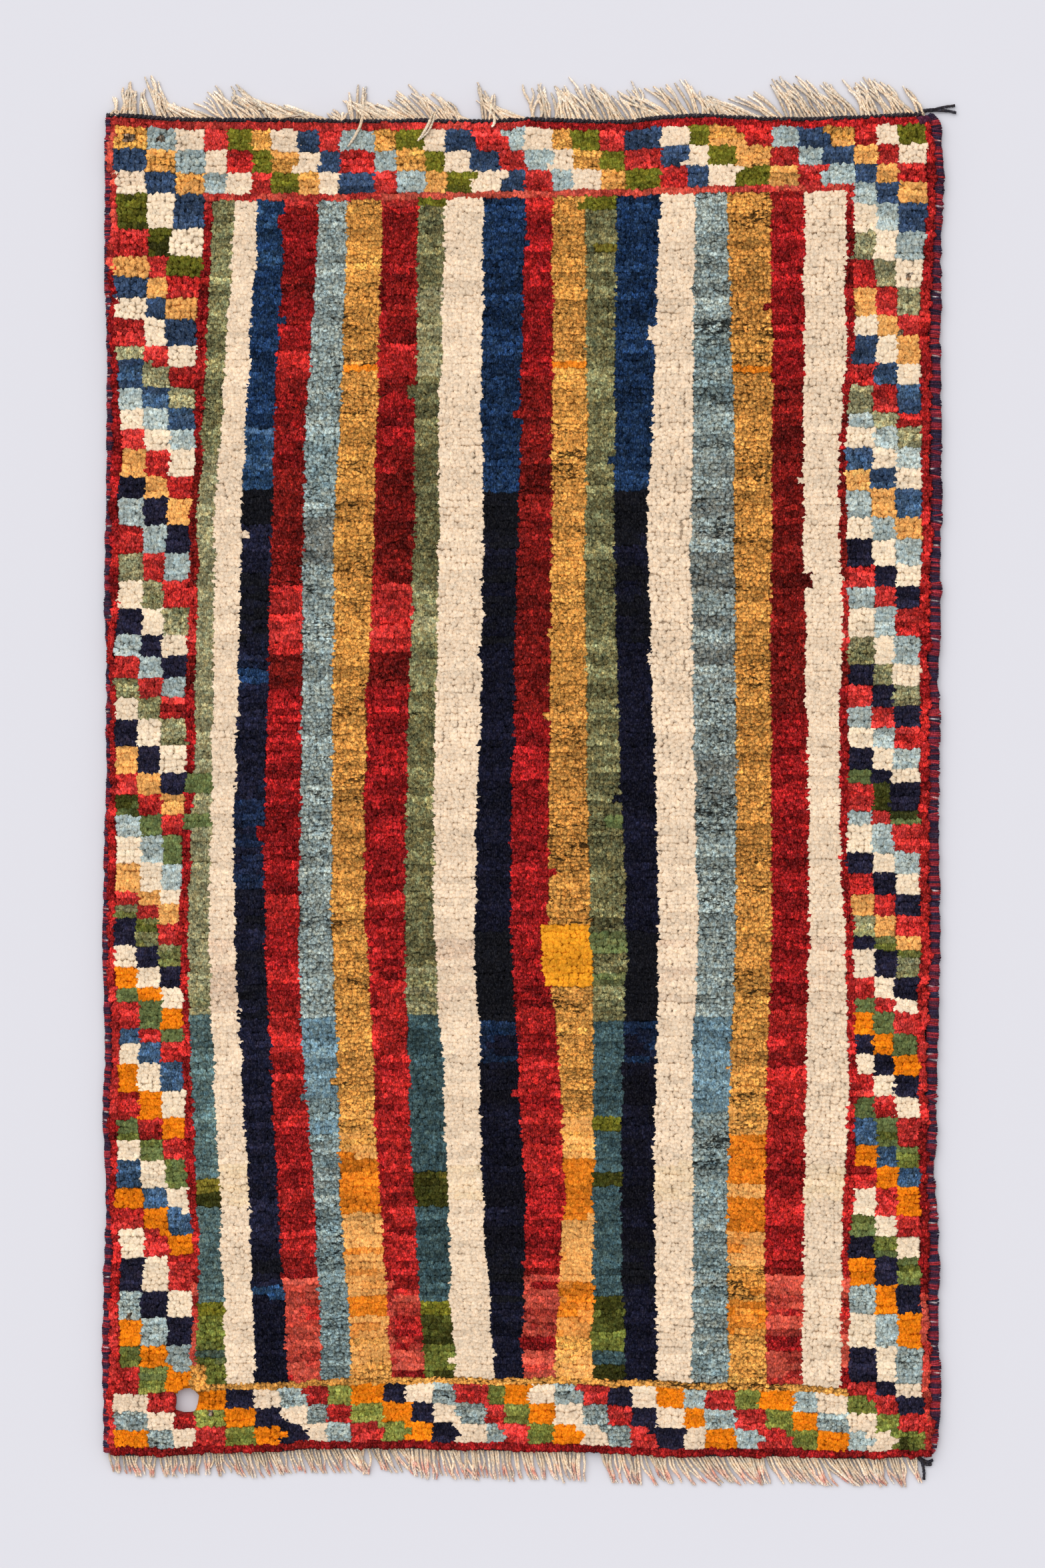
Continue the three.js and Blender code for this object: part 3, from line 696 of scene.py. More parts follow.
def give(mesh, name, kind, domain, values):
    """Stores values as a mesh's attribute."""
    attribute = mesh.attributes.new(name, kind, domain)
    key = {"FLOAT_COLOR": "color", "FLOAT2": "vector"}.get(kind, "value")
    attribute.data.foreach_set(key, np.asarray(values, dtype=np.float32).ravel())


def give_facts(mesh, domain, facts):
    """Stores what the wool and the trees read: the dye as a colour, and the rest as numbers."""
    for name, values in facts.items():
        give(mesh, name, "FLOAT_COLOR" if name == "Dye" else "FLOAT", domain, values)


def coloured(colours):
    """Linear colours as rows of red, green, blue and alpha."""
    return np.concatenate([colours, np.ones(np.shape(colours)[:-1] + (1,))], axis=-1)


def ground_mesh():
    """The ground as a closed sheet, one face to a knot above and below, open at the hole."""
    flat = corners.reshape(-1, 2).copy()
    distance, reach = hole_reach(flat)
    near = distance - reach < RIM_REACH
    to_rim = ((reach + RIM_GAP) / distance)[near][:, None]
    flat[near] = hole_middle + (flat[near] - hole_middle) * to_rim
    points = np.concatenate([
        np.column_stack([flat, np.full(len(flat), GROUND_THICK)]),
        np.column_stack([flat, np.zeros(len(flat))]),
    ])
    rows, columns = np.nonzero(kept)
    start = rows * (COLUMNS + 1) + columns
    upper = np.stack([start, start + COLUMNS + 1, start + COLUMNS + 2, start + 1], axis=1)
    lower = upper[:, ::-1] + len(flat)
    open_edges = {}  # those with a face on one side only, and that face's number
    for number, face in enumerate(upper.tolist()):
        for tail, head in zip(face, face[1:] + face[:1]):
            if open_edges.pop((head, tail), None) is None:
                open_edges[tail, head] = number
    walls = [(t + len(flat), h + len(flat), h, t) for t, h in open_edges]
    mesh = bpy.data.meshes.new("rug_ground")
    mesh.from_pydata(points.tolist(), [], upper.tolist() + lower.tolist() + walls)
    of_knots = wool_of_knots[rows, columns]
    faces = np.concatenate([of_knots, of_knots, of_knots[list(open_edges.values())]])
    give_facts(mesh, "FACE", {
        "Dye": coloured(faces[:, :3]),
        "Unevenness": faces[:, 3],
        "Root Shade and Specks": faces[:, 4],
        "Fleck": chance.random(len(faces)),
    })
    loops = np.empty(len(mesh.loops), dtype=np.int32)
    mesh.loops.foreach_get("vertex_index", loops)
    place = loops % len(flat)
    along = np.column_stack([place % (COLUMNS + 1), place // (COLUMNS + 1)]).astype(float)
    give(mesh, "Knots", "FLOAT2", "CORNER", along)
    share = along / (COLUMNS, ROWS)
    bake = np.column_stack([
        BAKE_MARGIN + share[:, 0] * BAKE_SIDE_WIDTH + (loops >= len(flat)) * BAKE_UNDERSIDE,
        BAKE_MARGIN + (1 - share[:, 1]) * BAKE_HEIGHT,
    ])
    of_walls = np.arange(len(loops)) >= len(of_knots) * 8  # the upper and lower faces come first
    wall = np.arange(of_walls.sum()) // 4
    bake[of_walls, 0] = BAKE_MARGIN + wall / len(walls) * BAKE_WALL_RUN
    bake[of_walls, 0] += np.tile([0, BAKE_WALL_SHARE, BAKE_WALL_SHARE, 0], len(walls)) / len(walls)
    bake[of_walls, 1] = BAKE_WALLS + np.tile([0, 0, BAKE_WALL_HEIGHT, BAKE_WALL_HEIGHT], len(walls))
    give(mesh, "OFBake", "FLOAT2", "CORNER", bake)
    return mesh


def ground_material():
    """Knots' backs: two small nubs to a knot, with the weft sunk between the rows. Painted shade
    darkens the undyed warps that show between the nubs, and the upper side under the pile.
    """
    material = wool_material("knot backs", 2600.0, 0.0004)
    sheet = NodeSheet(material.node_tree)
    nodes = material.node_tree.nodes
    backs = sheet.parts(sheet.add("ShaderNodeUVMap", uv_map="Knots").outputs[0])
    across, along = (
        sheet.calc("ABSOLUTE", sheet.calc("SINE", sheet.calc("MULTIPLY", backs[axis], turn)))
        for axis, turn in (("X", 2 * math.pi), ("Y", math.pi))
    )
    nub = sheet.calc("POWER", sheet.calc("MULTIPLY", across, along), 0.5)
    relief = sheet.get("ShaderNodeBump", {"Height": nub, "Strength": 0.9, "Distance": 0.0008})
    shader = nodes["Principled BSDF"]
    dye = shader.inputs["Base Color"].links[0].from_socket
    height = sheet.parts(sheet.add("ShaderNodeTexCoord").outputs["Object"])["Z"]
    upper = sheet.calc("GREATER_THAN", height, 0.5 * MM)
    wool = sheet.calc("MAXIMUM", upper, sheet.calc("GREATER_THAN", nub, WEFT_SUNK))
    # painted shade: the upper side, under the pile, is drawn darker
    dye = sheet.times(dye, sheet.calc("MULTIPLY_ADD", upper, GROUND_PAINTED_SHADE - 1, 1.0))
    # painted shade: where the nubs are low, the warps show, drawn darker than their own beige
    shown = sheet.mix(wool, (*WARP_BEIGE * WARP_PAINTED_SHADE, 1), dye)
    sheet.feed(next(n for n in nodes if n.type == "BUMP" and n.inputs["Normal"].is_linked), {
        "Normal": relief,
    })
    sheet.feed(shader, {"Base Color": shown})
    return material


def placed(name, data):
    """A mesh, or a light or camera, as a piece of the scene."""
    piece = bpy.data.objects.new(name, data)
    bpy.context.scene.collection.objects.link(piece)
    return piece


ground = placed("rug_ground", ground_mesh())
ground.data.materials.append(ground_material())
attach(ground, "root")
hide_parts("rug_body")


# The pile: each knot's cut ends stand up as four locks of thick hand spun wool, and lean down the
# rug as all pile does. The locks of one knot keep together, so the rows still show between them.

PILE_STRIPS = ("pile_left", "pile_mid_left", "pile_mid_right", "pile_right")
LOCK_ROOT = 2.2 * MM
LOCK_RADIUS = 2.9 * MM
LOCK_LENGTH = 8.6 * MM
LOCKS = 4
SHOULDER = 0.16  # the lower, the nearer a lock's widest place comes to its tip
LOCKS_KEEP_TOGETHER = 0.86  # the step between a knot's rows of locks, against an even spread
PILE_LEAN = math.radians(28)
# How far single locks differ: in radians, in shares of their step, and in thickness and length
LEAN_STRAY, SWAY_STRAY = 0.11, 0.13
STEP_STRAY_ACROSS, STEP_STRAY_ALONG = 0.26, 0.2
GIRTHS, LENGTHS = (0.88, 1.12), (0.93, 1.03)
# Patches in which the pile lies alike: their size in millimetres, and how far they differ
LEAN_PATCHES = ((31, 0.07), (11, 0.05))
SWAY_PATCHES = (27, 0.09)
HEIGHT_PATCHES = (19, 0.03)
STRAY_PATCHES = ((8, 0.6), (9, 0.6))  # how far the pile strays from its knots, across and along
PILE_HEIGHT, LOWEST_PILE, HIGHEST_PILE = 0.96, 0.85, 1.02
DIRT_HEIGHT = 0.93
ROOTS_SET_BACK = 0.6  # of how far a lock leans over, so that its middle stays over its knot
OVER_THE_EDGE = 2.4  # how far the outer knots fall over the selvedges, in millimetres
ROWS_CLEAR_OF_TOP = 3  # rows at the top whose pile doesn't
UPRIGHT_NEAR_HOLE = 9 * MM
SPREAD_ROUND_HOLE = 1.6  # how far the pile spreads away from the hole, in millimetres
BAKE_CELL_MARGIN = 0.15
BRIGHTEST = 0.95  # no wool is lighter than this


def geometry_tree(name, inputs):
    """A new geometry tree with named inputs, a sheet to write on it, and the inputs' sockets."""
    tree = bpy.data.node_groups.new(name, "GeometryNodeTree")
    tree.interface.new_socket("Geometry", in_out="INPUT", socket_type="NodeSocketGeometry")
    tree.interface.new_socket("Geometry", in_out="OUTPUT", socket_type="NodeSocketGeometry")
    for label, kind in inputs.items():
        tree.interface.new_socket(label, in_out="INPUT", socket_type="NodeSocket" + kind)
    sheet = NodeSheet(tree)
    return sheet, sheet.add("NodeGroupInput").outputs


def fact_of(sheet, name, kind="FLOAT"):
    """An attribute in a geometry tree."""
    return sheet.get("GeometryNodeInputNamedAttribute", {"Name": name}, data_type=kind)


def finish_tree(sheet, geometry, wool):
    """Ends a tree: the shape is shaded smooth, made a plain mesh and given its wool."""
    smooth = sheet.get("GeometryNodeSetShadeSmooth", {"Geometry": geometry})
    plain = sheet.get("GeometryNodeRealizeInstances", {"Geometry": smooth})
    dyed_wool = sheet.get("GeometryNodeSetMaterial", {"Geometry": plain, "Material": wool})
    sheet.add("NodeGroupOutput", {"Geometry": dyed_wool})
    return sheet.tree


def grown(name, mesh, tree, sizes):
    """Runs a geometry tree on a mesh of bare points or lines, and keeps what it makes as a mesh."""
    piece = placed(name, mesh)
    modifier = piece.modifiers.new("grow", "NODES")
    modifier.node_group = tree
    for item in tree.interface.items_tree:
        if item.in_out == "INPUT" and item.name in sizes:
            modifier[item.identifier] = sizes[item.name]
    scene_state = bpy.context.evaluated_depsgraph_get()
    made = bpy.data.meshes.new_from_object(
        piece.evaluated_get(scene_state), preserve_all_data_layers=True, depsgraph=scene_state
    )
    piece.modifiers.clear()
    piece.data = made
    made.name = name
    return piece


def pile_tree():
    """Four locks on each knot, each a slim bud that widens to a shoulder and closes in a tip."""
    sheet, given = geometry_tree("pile locks", {
        "Lock Radius": "Float", "Lock Length": "Float", "Locks": "Int", "Cells": "Float",
        "Seed": "Int", "Wool": "Material",
    })

    def number(low, high, offset):
        seed = sheet.calc("ADD", given["Seed"], offset)
        return sheet.get("FunctionNodeRandomValue", {"Min": low, "Max": high, "Seed": seed})

    def stored(geometry, name, value, kind="FLOAT", domain="POINT"):
        return sheet.get("GeometryNodeStoreNamedAttribute", {
            "Geometry": geometry, "Name": name, "Value": value,
        }, data_type=kind, domain=domain)

    def turned(x=0.0, y=0.0, z=0.0):
        return sheet.get("FunctionNodeEulerToRotation", {0: sheet.point(x, y, z)})

    def in_cell(place, own):
        filled = sheet.calc("MULTIPLY_ADD", own, 1 - 2 * BAKE_CELL_MARGIN, BAKE_CELL_MARGIN)
        return sheet.calc("DIVIDE", sheet.calc("ADD", place, filled), given["Cells"])

    ball = sheet.add("GeometryNodeMeshUVSphere", {"Segments": 4, "Rings": 2, "Radius": 1.0})
    bud = stored(ball.outputs["Mesh"], "Lock UV", ball.outputs["UV Map"], "FLOAT2", "CORNER")
    place = sheet.parts(sheet.get("GeometryNodeInputPosition"))
    bud = stored(bud, "Rise", sheet.calc("MULTIPLY_ADD", place["Z"], 0.5, 0.5))
    shoulder = sheet.calc("POWER", fact_of(sheet, "Rise"), SHOULDER)
    shaped = sheet.point(place["X"], place["Y"], shoulder)
    bud = sheet.get("GeometryNodeSetPosition", {"Geometry": bud, "Position": shaped})

    points = sheet.get("GeometryNodeMeshToPoints", {"Mesh": given["Geometry"]})
    ends = sheet.add("GeometryNodeDuplicateElements", {
        "Geometry": points, "Amount": given["Locks"],
    }, domain="POINT")
    turn = ends.outputs["Duplicate Index"]
    side = sheet.calc("SUBTRACT", sheet.calc("MODULO", turn, 2.0), 0.5)
    line = sheet.calc("SUBTRACT", sheet.calc("FLOOR", sheet.calc("DIVIDE", turn, 2.0)), 0.5)
    lean = sheet.calc("ADD", fact_of(sheet, "Lean"), number(-LEAN_STRAY, LEAN_STRAY, 1))
    sway = sheet.calc("ADD", fact_of(sheet, "Sway"), number(-SWAY_STRAY, SWAY_STRAY, 2))
    back = sheet.calc("MULTIPLY", sheet.calc("SINE", fact_of(sheet, "Lean")), ROOTS_SET_BACK)
    back = sheet.calc("MULTIPLY", back, given["Lock Length"])
    side = sheet.calc("ADD", side, number(-STEP_STRAY_ACROSS, STEP_STRAY_ACROSS, 3))
    line = sheet.calc("ADD", line, number(-STEP_STRAY_ALONG, STEP_STRAY_ALONG, 4))
    step_x = sheet.calc("MULTIPLY", side, fact_of(sheet, "Step Across"))
    step_y = sheet.calc("MULTIPLY", line, fact_of(sheet, "Step Along"))
    step = sheet.point(step_x, sheet.calc("ADD", step_y, back))
    roots = sheet.get("GeometryNodeSetPosition", {
        "Geometry": ends.outputs["Geometry"], "Offset": step,
    })
    rotation = sheet.get("FunctionNodeRotateRotation", {
        "Rotation": turned(lean, sway), "Rotate By": turned(z=number(0.0, math.pi, 5)),
    }, rotation_space="LOCAL")
    girth = sheet.calc("MULTIPLY", given["Lock Radius"], number(*GIRTHS, 6))
    tall = sheet.calc("MULTIPLY", given["Lock Length"], fact_of(sheet, "Height"))
    tall = sheet.calc("MULTIPLY", tall, number(*LENGTHS, 7))
    locks = sheet.get("GeometryNodeInstanceOnPoints", {
        "Points": roots, "Instance": bud, "Rotation": rotation,
        "Scale": sheet.point(girth, girth, tall),
    })
    locks = stored(locks, "Fleck", number(0.0, 1.0, 8), domain="INSTANCE")
    locks = stored(locks, "Lock", sheet.get("GeometryNodeInputIndex"), domain="INSTANCE")
    pile = sheet.get("GeometryNodeRealizeInstances", {"Geometry": locks})
    own = sheet.parts(fact_of(sheet, "Lock UV", "FLOAT_VECTOR"))
    cell_x = sheet.calc("MODULO", fact_of(sheet, "Lock"), given["Cells"])
    cell_y = sheet.calc("FLOOR", sheet.calc("DIVIDE", fact_of(sheet, "Lock"), given["Cells"]))
    bake = sheet.point(in_cell(cell_x, own["X"]), in_cell(cell_y, own["Y"]))
    pile = stored(pile, "OFBake", bake, "FLOAT2", "CORNER")
    return finish_tree(sheet, pile, given["Wool"])


def slow_noise(places, step, amount):
    """A number for each place that changes slowly over the cloth, with steps in millimetres."""
    low = places.min((0, 1))
    cells = np.ceil((places.max((0, 1)) - low) / step).astype(int) + 2
    grid = chance.normal(0, amount, cells)
    at = (places - low) / step
    cell = at.astype(int)
    part = at - cell
    part = part * part * (3 - 2 * part)
    total = 0
    for i in (0, 1):
        for j in (0, 1):
            near_x = np.where(i, part[..., 0], 1 - part[..., 0])
            near_y = np.where(j, part[..., 1], 1 - part[..., 1])
            total = total + near_x * near_y * grid[cell[..., 0] + i, cell[..., 1] + j]
    return total


def knot_points(columns):
    """The knots of a strip as bare points that carry each fact."""
    inside = np.zeros(kept.shape, dtype=bool)
    inside[:, columns] = True
    inside &= piled
    points = np.column_stack([pile_places[inside], np.full(inside.sum(), LOCK_ROOT)])
    mesh = bpy.data.meshes.new("knots")
    mesh.from_pydata(points.tolist(), [], [])
    give_facts(mesh, "POINT", {name: values[inside] for name, values in knot_facts.items()})
    return mesh


from_rim = distance - reach
clear_of_hole = np.clip(from_rim / UPRIGHT_NEAR_HOLE, 0, 1)
leaning = clear_of_hole * PILE_LEAN
leaning += sum(slow_noise(chart_places, *patch) for patch in LEAN_PATCHES)
strayed = np.stack([slow_noise(chart_places, *patch) for patch in STRAY_PATCHES], axis=-1)
strayed *= clear_of_hole[..., None]
fallen = chance.uniform(0, OVER_THE_EDGE, (ROWS - ROWS_CLEAR_OF_TOP, 2))
strayed[ROWS_CLEAR_OF_TOP:, (0, -1), 0] += fallen * (-1, 1)
from_hole = (knots - hole_middle) / distance[..., None]
near_hole = np.clip(1 - from_rim / UPRIGHT_NEAR_HOLE, 0, 1)[..., None]
strayed += from_hole * near_hole * SPREAD_ROUND_HOLE
pile_places = knots + strayed * MM
knot_steps_across = np.linalg.norm(corners[:-1, 1:] - corners[:-1, :-1], axis=-1)
knot_steps_along = np.linalg.norm(corners[:-1, :-1] - corners[1:, :-1], axis=-1)
sway = slow_noise(chart_places, *SWAY_PATCHES)
heights = np.clip(PILE_HEIGHT + slow_noise(chart_places, *HEIGHT_PATCHES), LOWEST_PILE, HIGHEST_PILE)
knot_facts = {
    "Dye": coloured(np.clip(wool_of_knots[..., :3], 0, BRIGHTEST)),
    "Unevenness": wool_of_knots[..., 3],
    "Root Shade and Specks": wool_of_knots[..., 4],
    "Lean": leaning,
    "Sway": sway,
    "Step Across": knot_steps_across / 2,
    "Step Along": knot_steps_along / 2 * LOCKS_KEEP_TOGETHER,
    "Height": heights * np.where(lot_names == "dirt", DIRT_HEIGHT, 1),
}
wool_pile = wool_material("wool pile", 1200.0, 0.0004, rise=None, soft=0.5)
pile_nodes = pile_tree()
for number, name in enumerate(PILE_STRIPS):
    first, end = (COLUMNS * part // len(PILE_STRIPS) for part in (number, number + 1))
    base = knot_points(list(range(first, end)))
    strip = grown(name, base, pile_nodes, {
        "Lock Radius": LOCK_RADIUS,
        "Lock Length": LOCK_LENGTH,
        "Locks": LOCKS,
        "Cells": float(math.ceil(math.sqrt(len(base.vertices) * LOCKS))),
        "Seed": 40 + number * 10,
        "Wool": wool_pile,
    })
    for spent in ("Lock UV", "Lock", "Lean", "Sway", "Step Across", "Step Along"):
        strip.data.attributes.remove(strip.data.attributes[spent])
    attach(strip, "root")
    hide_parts("rug_body")


# The selvedges: the outer warps of each side bundled and overcast with dark wool, turn by turn.
# The weaver carried a little red along, so short runs of turns show red.

SELVEDGE_PITCH = 1.25 * MM
SELVEDGE_YARN = 0.8 * MM  # half its thickness
STEPS = 8  # straight steps in one turn of yarn
SELVEDGE_GAP = 0.3 * MM  # between the knots and the bundle of warps
SELVEDGE_FILL = 0.95  # the bundle's share of its width and height
SWELLS = ((120, 0.05), (26, 0.06))  # the bundle's swells: length in steps, and how far they differ
SWELLS_HELD = (-0.2, 0.16)
SELVEDGE_WIDTHS = {"selvedge_left": 7.4 * MM, "selvedge_right": 10.4 * MM}
SELVEDGE_TOPS = {"selvedge_left": 0, "selvedge_right": 2 * MM}  # how far it runs up past its warps
SELVEDGE_GIRTHS = {  # height from the cloth's middle, and the share of the full width there
    "selvedge_left": [
        (-480, 1.2), (-350, 1.12), (-250, 1), (-40, 0.92), (0, 0.8), (60, 0.95), (180, 1),
        (240, 0.9), (310, 0.95), (350, 1.15), (440, 1.15), (475, 1),
    ],
    "selvedge_right": [
        (-486, 0.4), (-477, 1), (-468, 1.08), (-400, 1), (460, 1), (474, 1.1), (480, 0.8), (486, 0.3),
    ],
}
OVERCAST_DARK = [(52, 38, 58), (66, 36, 54), (42, 34, 52), (74, 38, 54), (56, 46, 68)]
OVERCAST_RED = [(140, 42, 54), (162, 52, 62), (124, 38, 52), (156, 44, 48), (112, 38, 52)]
WARP_SPECK = (206, 190, 188)
RED_SHARE = 0.9  # of the runs of turns that may be red
LONGEST_RUN = 4
FIRST_SPECK = 6  # the turn at which a warp first shows
SPECK_GAP = 30  # turns from there to the next such place, about


def wound_yarn_tree():
    """Yarn wound along a path: one ply over a bundle of warps, or two plies twisted together."""
    sheet, given = geometry_tree("wound yarn", {
        "Pitch": "Float", "Plies": "Int", "Reach Across": "Float", "Reach Up": "Float",
        "Yarn Radius": "Float", "Steps a Turn": "Float", "Sides": "Int", "Wander": "Float",
        "Wool": "Material",
    })
    path = sheet.get("GeometryNodeMeshToCurve", {"Mesh": given["Geometry"]})
    path = sheet.get("GeometryNodeResampleCurve", {
        "Curve": path, "Length": sheet.calc("DIVIDE", given["Pitch"], given["Steps a Turn"]),
    }, mode="LENGTH")
    path = sheet.get("GeometryNodeSetCurveNormal", {"Curve": path}, mode="Z_UP")
    plies = sheet.add("GeometryNodeDuplicateElements", {
        "Geometry": path, "Amount": given["Plies"],
    }, domain="SPLINE")
    phase = sheet.calc("DIVIDE", plies.outputs["Duplicate Index"], given["Plies"])
    turns = sheet.calc("ADD", fact_of(sheet, "Turns"), phase)
    angle = sheet.calc("MULTIPLY", turns, 2 * math.pi)
    girth = fact_of(sheet, "Girth")
    across = sheet.calc("MULTIPLY", sheet.calc("COSINE", angle), given["Reach Across"])
    across = sheet.calc("MULTIPLY", across, girth)
    up = sheet.calc("MULTIPLY", sheet.calc("SINE", angle), given["Reach Up"])
    up = sheet.calc("MULTIPLY", up, girth)
    aside = sheet.times(sheet.get("GeometryNodeInputNormal"), across)
    offset = sheet.vector("ADD", aside, sheet.point(z=up))
    cloud = sheet.add("ShaderNodeTexNoise", {
        "Vector": sheet.get("GeometryNodeInputPosition"), "Scale": 170.0, "Detail": 2.0,
    })
    stray = sheet.vector("SUBTRACT", cloud.outputs["Color"], (0.5, 0.5, 0.5))
    offset = sheet.vector("ADD", offset, sheet.times(stray, given["Wander"]))
    yarn = sheet.get("GeometryNodeSetPosition", {
        "Geometry": plies.outputs["Geometry"], "Offset": offset,
    })
    section = sheet.get("GeometryNodeCurvePrimitiveCircle", {
        "Resolution": given["Sides"], "Radius": given["Yarn Radius"],
    }, mode="RADIUS")
    swept = sheet.get("GeometryNodeCurveToMesh", {
        "Curve": yarn, "Profile Curve": section, "Fill Caps": True,
    })
    return finish_tree(sheet, swept, given["Wool"])


def lines_mesh(lines, facts):
    """Lines of points as a mesh of edges whose points carry each fact."""
    mesh = bpy.data.meshes.new("lines")
    edges = []
    start = 0
    for line in lines:
        edges += [(start + i, start + i + 1) for i in range(len(line) - 1)]
        start += len(line)
    mesh.from_pydata(np.concatenate(lines).tolist(), edges, [])
    give_facts(mesh, "POINT", {name: np.concatenate(values) for name, values in facts.items()})
    return mesh


def overcast_dyes(turns):
    """The dye at each step: dark wool, runs of red, and a warp that shows here and there."""
    dark, red = (np.array([daylight(*c) for c in dyes]) for dyes in (OVERCAST_DARK, OVERCAST_RED))
    colours = dark[chance.integers(0, len(dark), turns)]
    pick = red[chance.integers(0, len(red), turns)]
    turn = 0
    while turn < turns:
        run = int(chance.integers(1, LONGEST_RUN + 1))
        if chance.random() < RED_SHARE:
            colours[turn : turn + run] = pick[turn : turn + run]
        turn += run + int(chance.integers(1, LONGEST_RUN + 1))
    of_steps = np.repeat(colours, STEPS, axis=0)
    turn = FIRST_SPECK
    while turn < turns:
        on_top = int(chance.integers(1, STEPS // 2))
        of_steps[STEPS * turn + on_top] = daylight(*WARP_SPECK)
        turn += int(SPECK_GAP * chance.uniform(0.1, 1.9))
    return of_steps


def uneven(count, every, amount):
    """Numbers round 1 along a line, drawn anew after so many points and running between them."""
    marks = np.arange(0, count + every, every)
    swells = chance.normal(0, amount, len(marks)).clip(*SWELLS_HELD)
    return np.interp(np.arange(count), marks, 1 + swells)


yarn_tree = wound_yarn_tree()
overcast_wool = wool_material("overcast wool", 1400.0, 0.0003)
for name, side, outward in (("selvedge_left", left_side, -1), ("selvedge_right", right_side, 1)):
    low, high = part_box(name)
    turns = int((high.y - low.y) / SELVEDGE_PITCH)
    count = turns * STEPS
    ys = np.linspace(low.y + SELVEDGE_YARN, high.y + SELVEDGE_TOPS[name], count)
    half_width = SELVEDGE_WIDTHS[name] / 2
    reach_up = high.z / 2 - SELVEDGE_YARN
    girth = SELVEDGE_FILL * uneven(count, *SWELLS[0]) * uneven(count, *SWELLS[1])
    heights, shares = np.array(SELVEDGE_GIRTHS[name]).T
    girth = girth * np.interp((ys - cloth_middle[1]) / MM, heights, shares)
    xs = side(ys) + outward * (SELVEDGE_GAP + half_width * girth)
    base = lines_mesh([np.column_stack([xs, ys, SELVEDGE_YARN + reach_up * girth])], {
        "Dye": [coloured(overcast_dyes(turns))],
        "Turns": [np.arange(count) / STEPS],
        "Girth": [girth],
        "Unevenness": [np.full(count, 0.25)],
        "Root Shade and Specks": [np.zeros(count)],
        "Fleck": [chance.random(count)],
    })
    piece = grown(name + "_wool", base, yarn_tree, {
        "Pitch": SELVEDGE_PITCH,
        "Plies": 1,
        "Reach Across": half_width - SELVEDGE_YARN,
        "Reach Up": reach_up,
        "Yarn Radius": SELVEDGE_YARN,
        "Steps a Turn": float(STEPS),
        "Sides": 4,
        "Wander": 1.6 * MM,
        "Wool": overcast_wool,
    })
    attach(piece, "root")
    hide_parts(name)


# The end cords: a pair of dark yarns twisted across the warps at each end, which keeps the last
# rows of knots from slipping off. Each runs out into a loose end at its right hand corner.

CORD_PITCH = 6.4 * MM
CORD_YARN = 1.2 * MM  # half its thickness
CORD_CLOSE = 0.8  # the two yarns press into each other, so each lies this much of that off the middle
CORD_DARK = daylight(52, 48, 53)
# Height of the cord's middle, how far it lies out from the knots, and where it ends on the right
TOP_CORD = (2.6 * MM, 2.1 * MM, 289 * MM)
BOTTOM_CORD = (1.9 * MM, 0.4 * MM, 284 * MM)
CORD_POINTS, CORD_WAVES, CORD_WAVE = 120, 40, 0.12
TAIL_RADIUS = 1.25 * MM
TAIL_HEIGHT = 1.4 * MM
TAIL_POINTS = 16
STRAND_TWIST = 2 * math.pi / (11 * MM)
STRAND_FLATNESS = 0.84
TOP_TAILS = [  # the loose end's yarns, from the cloth's middle
    [(285, 486.2), (292, 488.2), (297.5, 488.6), (305.4, 490.4), (312.8, 491.4)],
    [(285, 485.6), (292, 487.6), (298, 487.9), (307.2, 487.6), (313.6, 486.2)],
]
BOTTOM_TAILS = [
    [(286, -484), (290, -487), (293.5, -488), (297, -486.6)],
    [(286, -485), (289.6, -488.8), (292.8, -490.2), (296, -489.6)],
    [(287.5, -484.5), (289.4, -490), (290.4, -496), (290.2, -501)],
]


def in_frame(points, height):
    """Points of the chart, in millimetres, as points of the frame at a height."""
    flat = np.array(points) * MM + cloth_middle
    return np.column_stack([flat, np.full(len(flat), height)])


def smooth_line(points, count):
    """A line through all the points, rounded at each, with evenly spread new points."""
    points = np.asarray(points, dtype=float)
    padded = np.vstack([2 * points[0] - points[1], points, 2 * points[-1] - points[-2]])
    at = np.linspace(0, len(points) - 1, count)
    part = np.minimum(at.astype(int), len(points) - 2)
    t = (at - part)[:, None]
    a, b, c, d = (padded[part + i] for i in range(4))
    square = (2 * a - 5 * b + 4 * c - d) * t**2
    cube = (3 * b - a - 3 * c + d) * t**3
    return 0.5 * (2 * b + (c - a) * t + square + cube)


def dark_yarn(lines):
    """Facts for lines of plain dark yarn."""
    lengths = [np.linalg.norm(np.diff(l, axis=0, prepend=l[:1]), axis=1) for l in lines]
    return {
        "Dye": [coloured(np.tile(CORD_DARK, (len(l), 1))) for l in lines],
        "Turns": [np.cumsum(length) / CORD_PITCH for length in lengths],
        "Girth": [np.ones(len(l)) for l in lines],
        "Unevenness": [np.full(len(l), 0.3) for l in lines],
        "Root Shade and Specks": [np.zeros(len(l)) for l in lines],
        "Fleck": [chance.random(len(l)) for l in lines],
    }


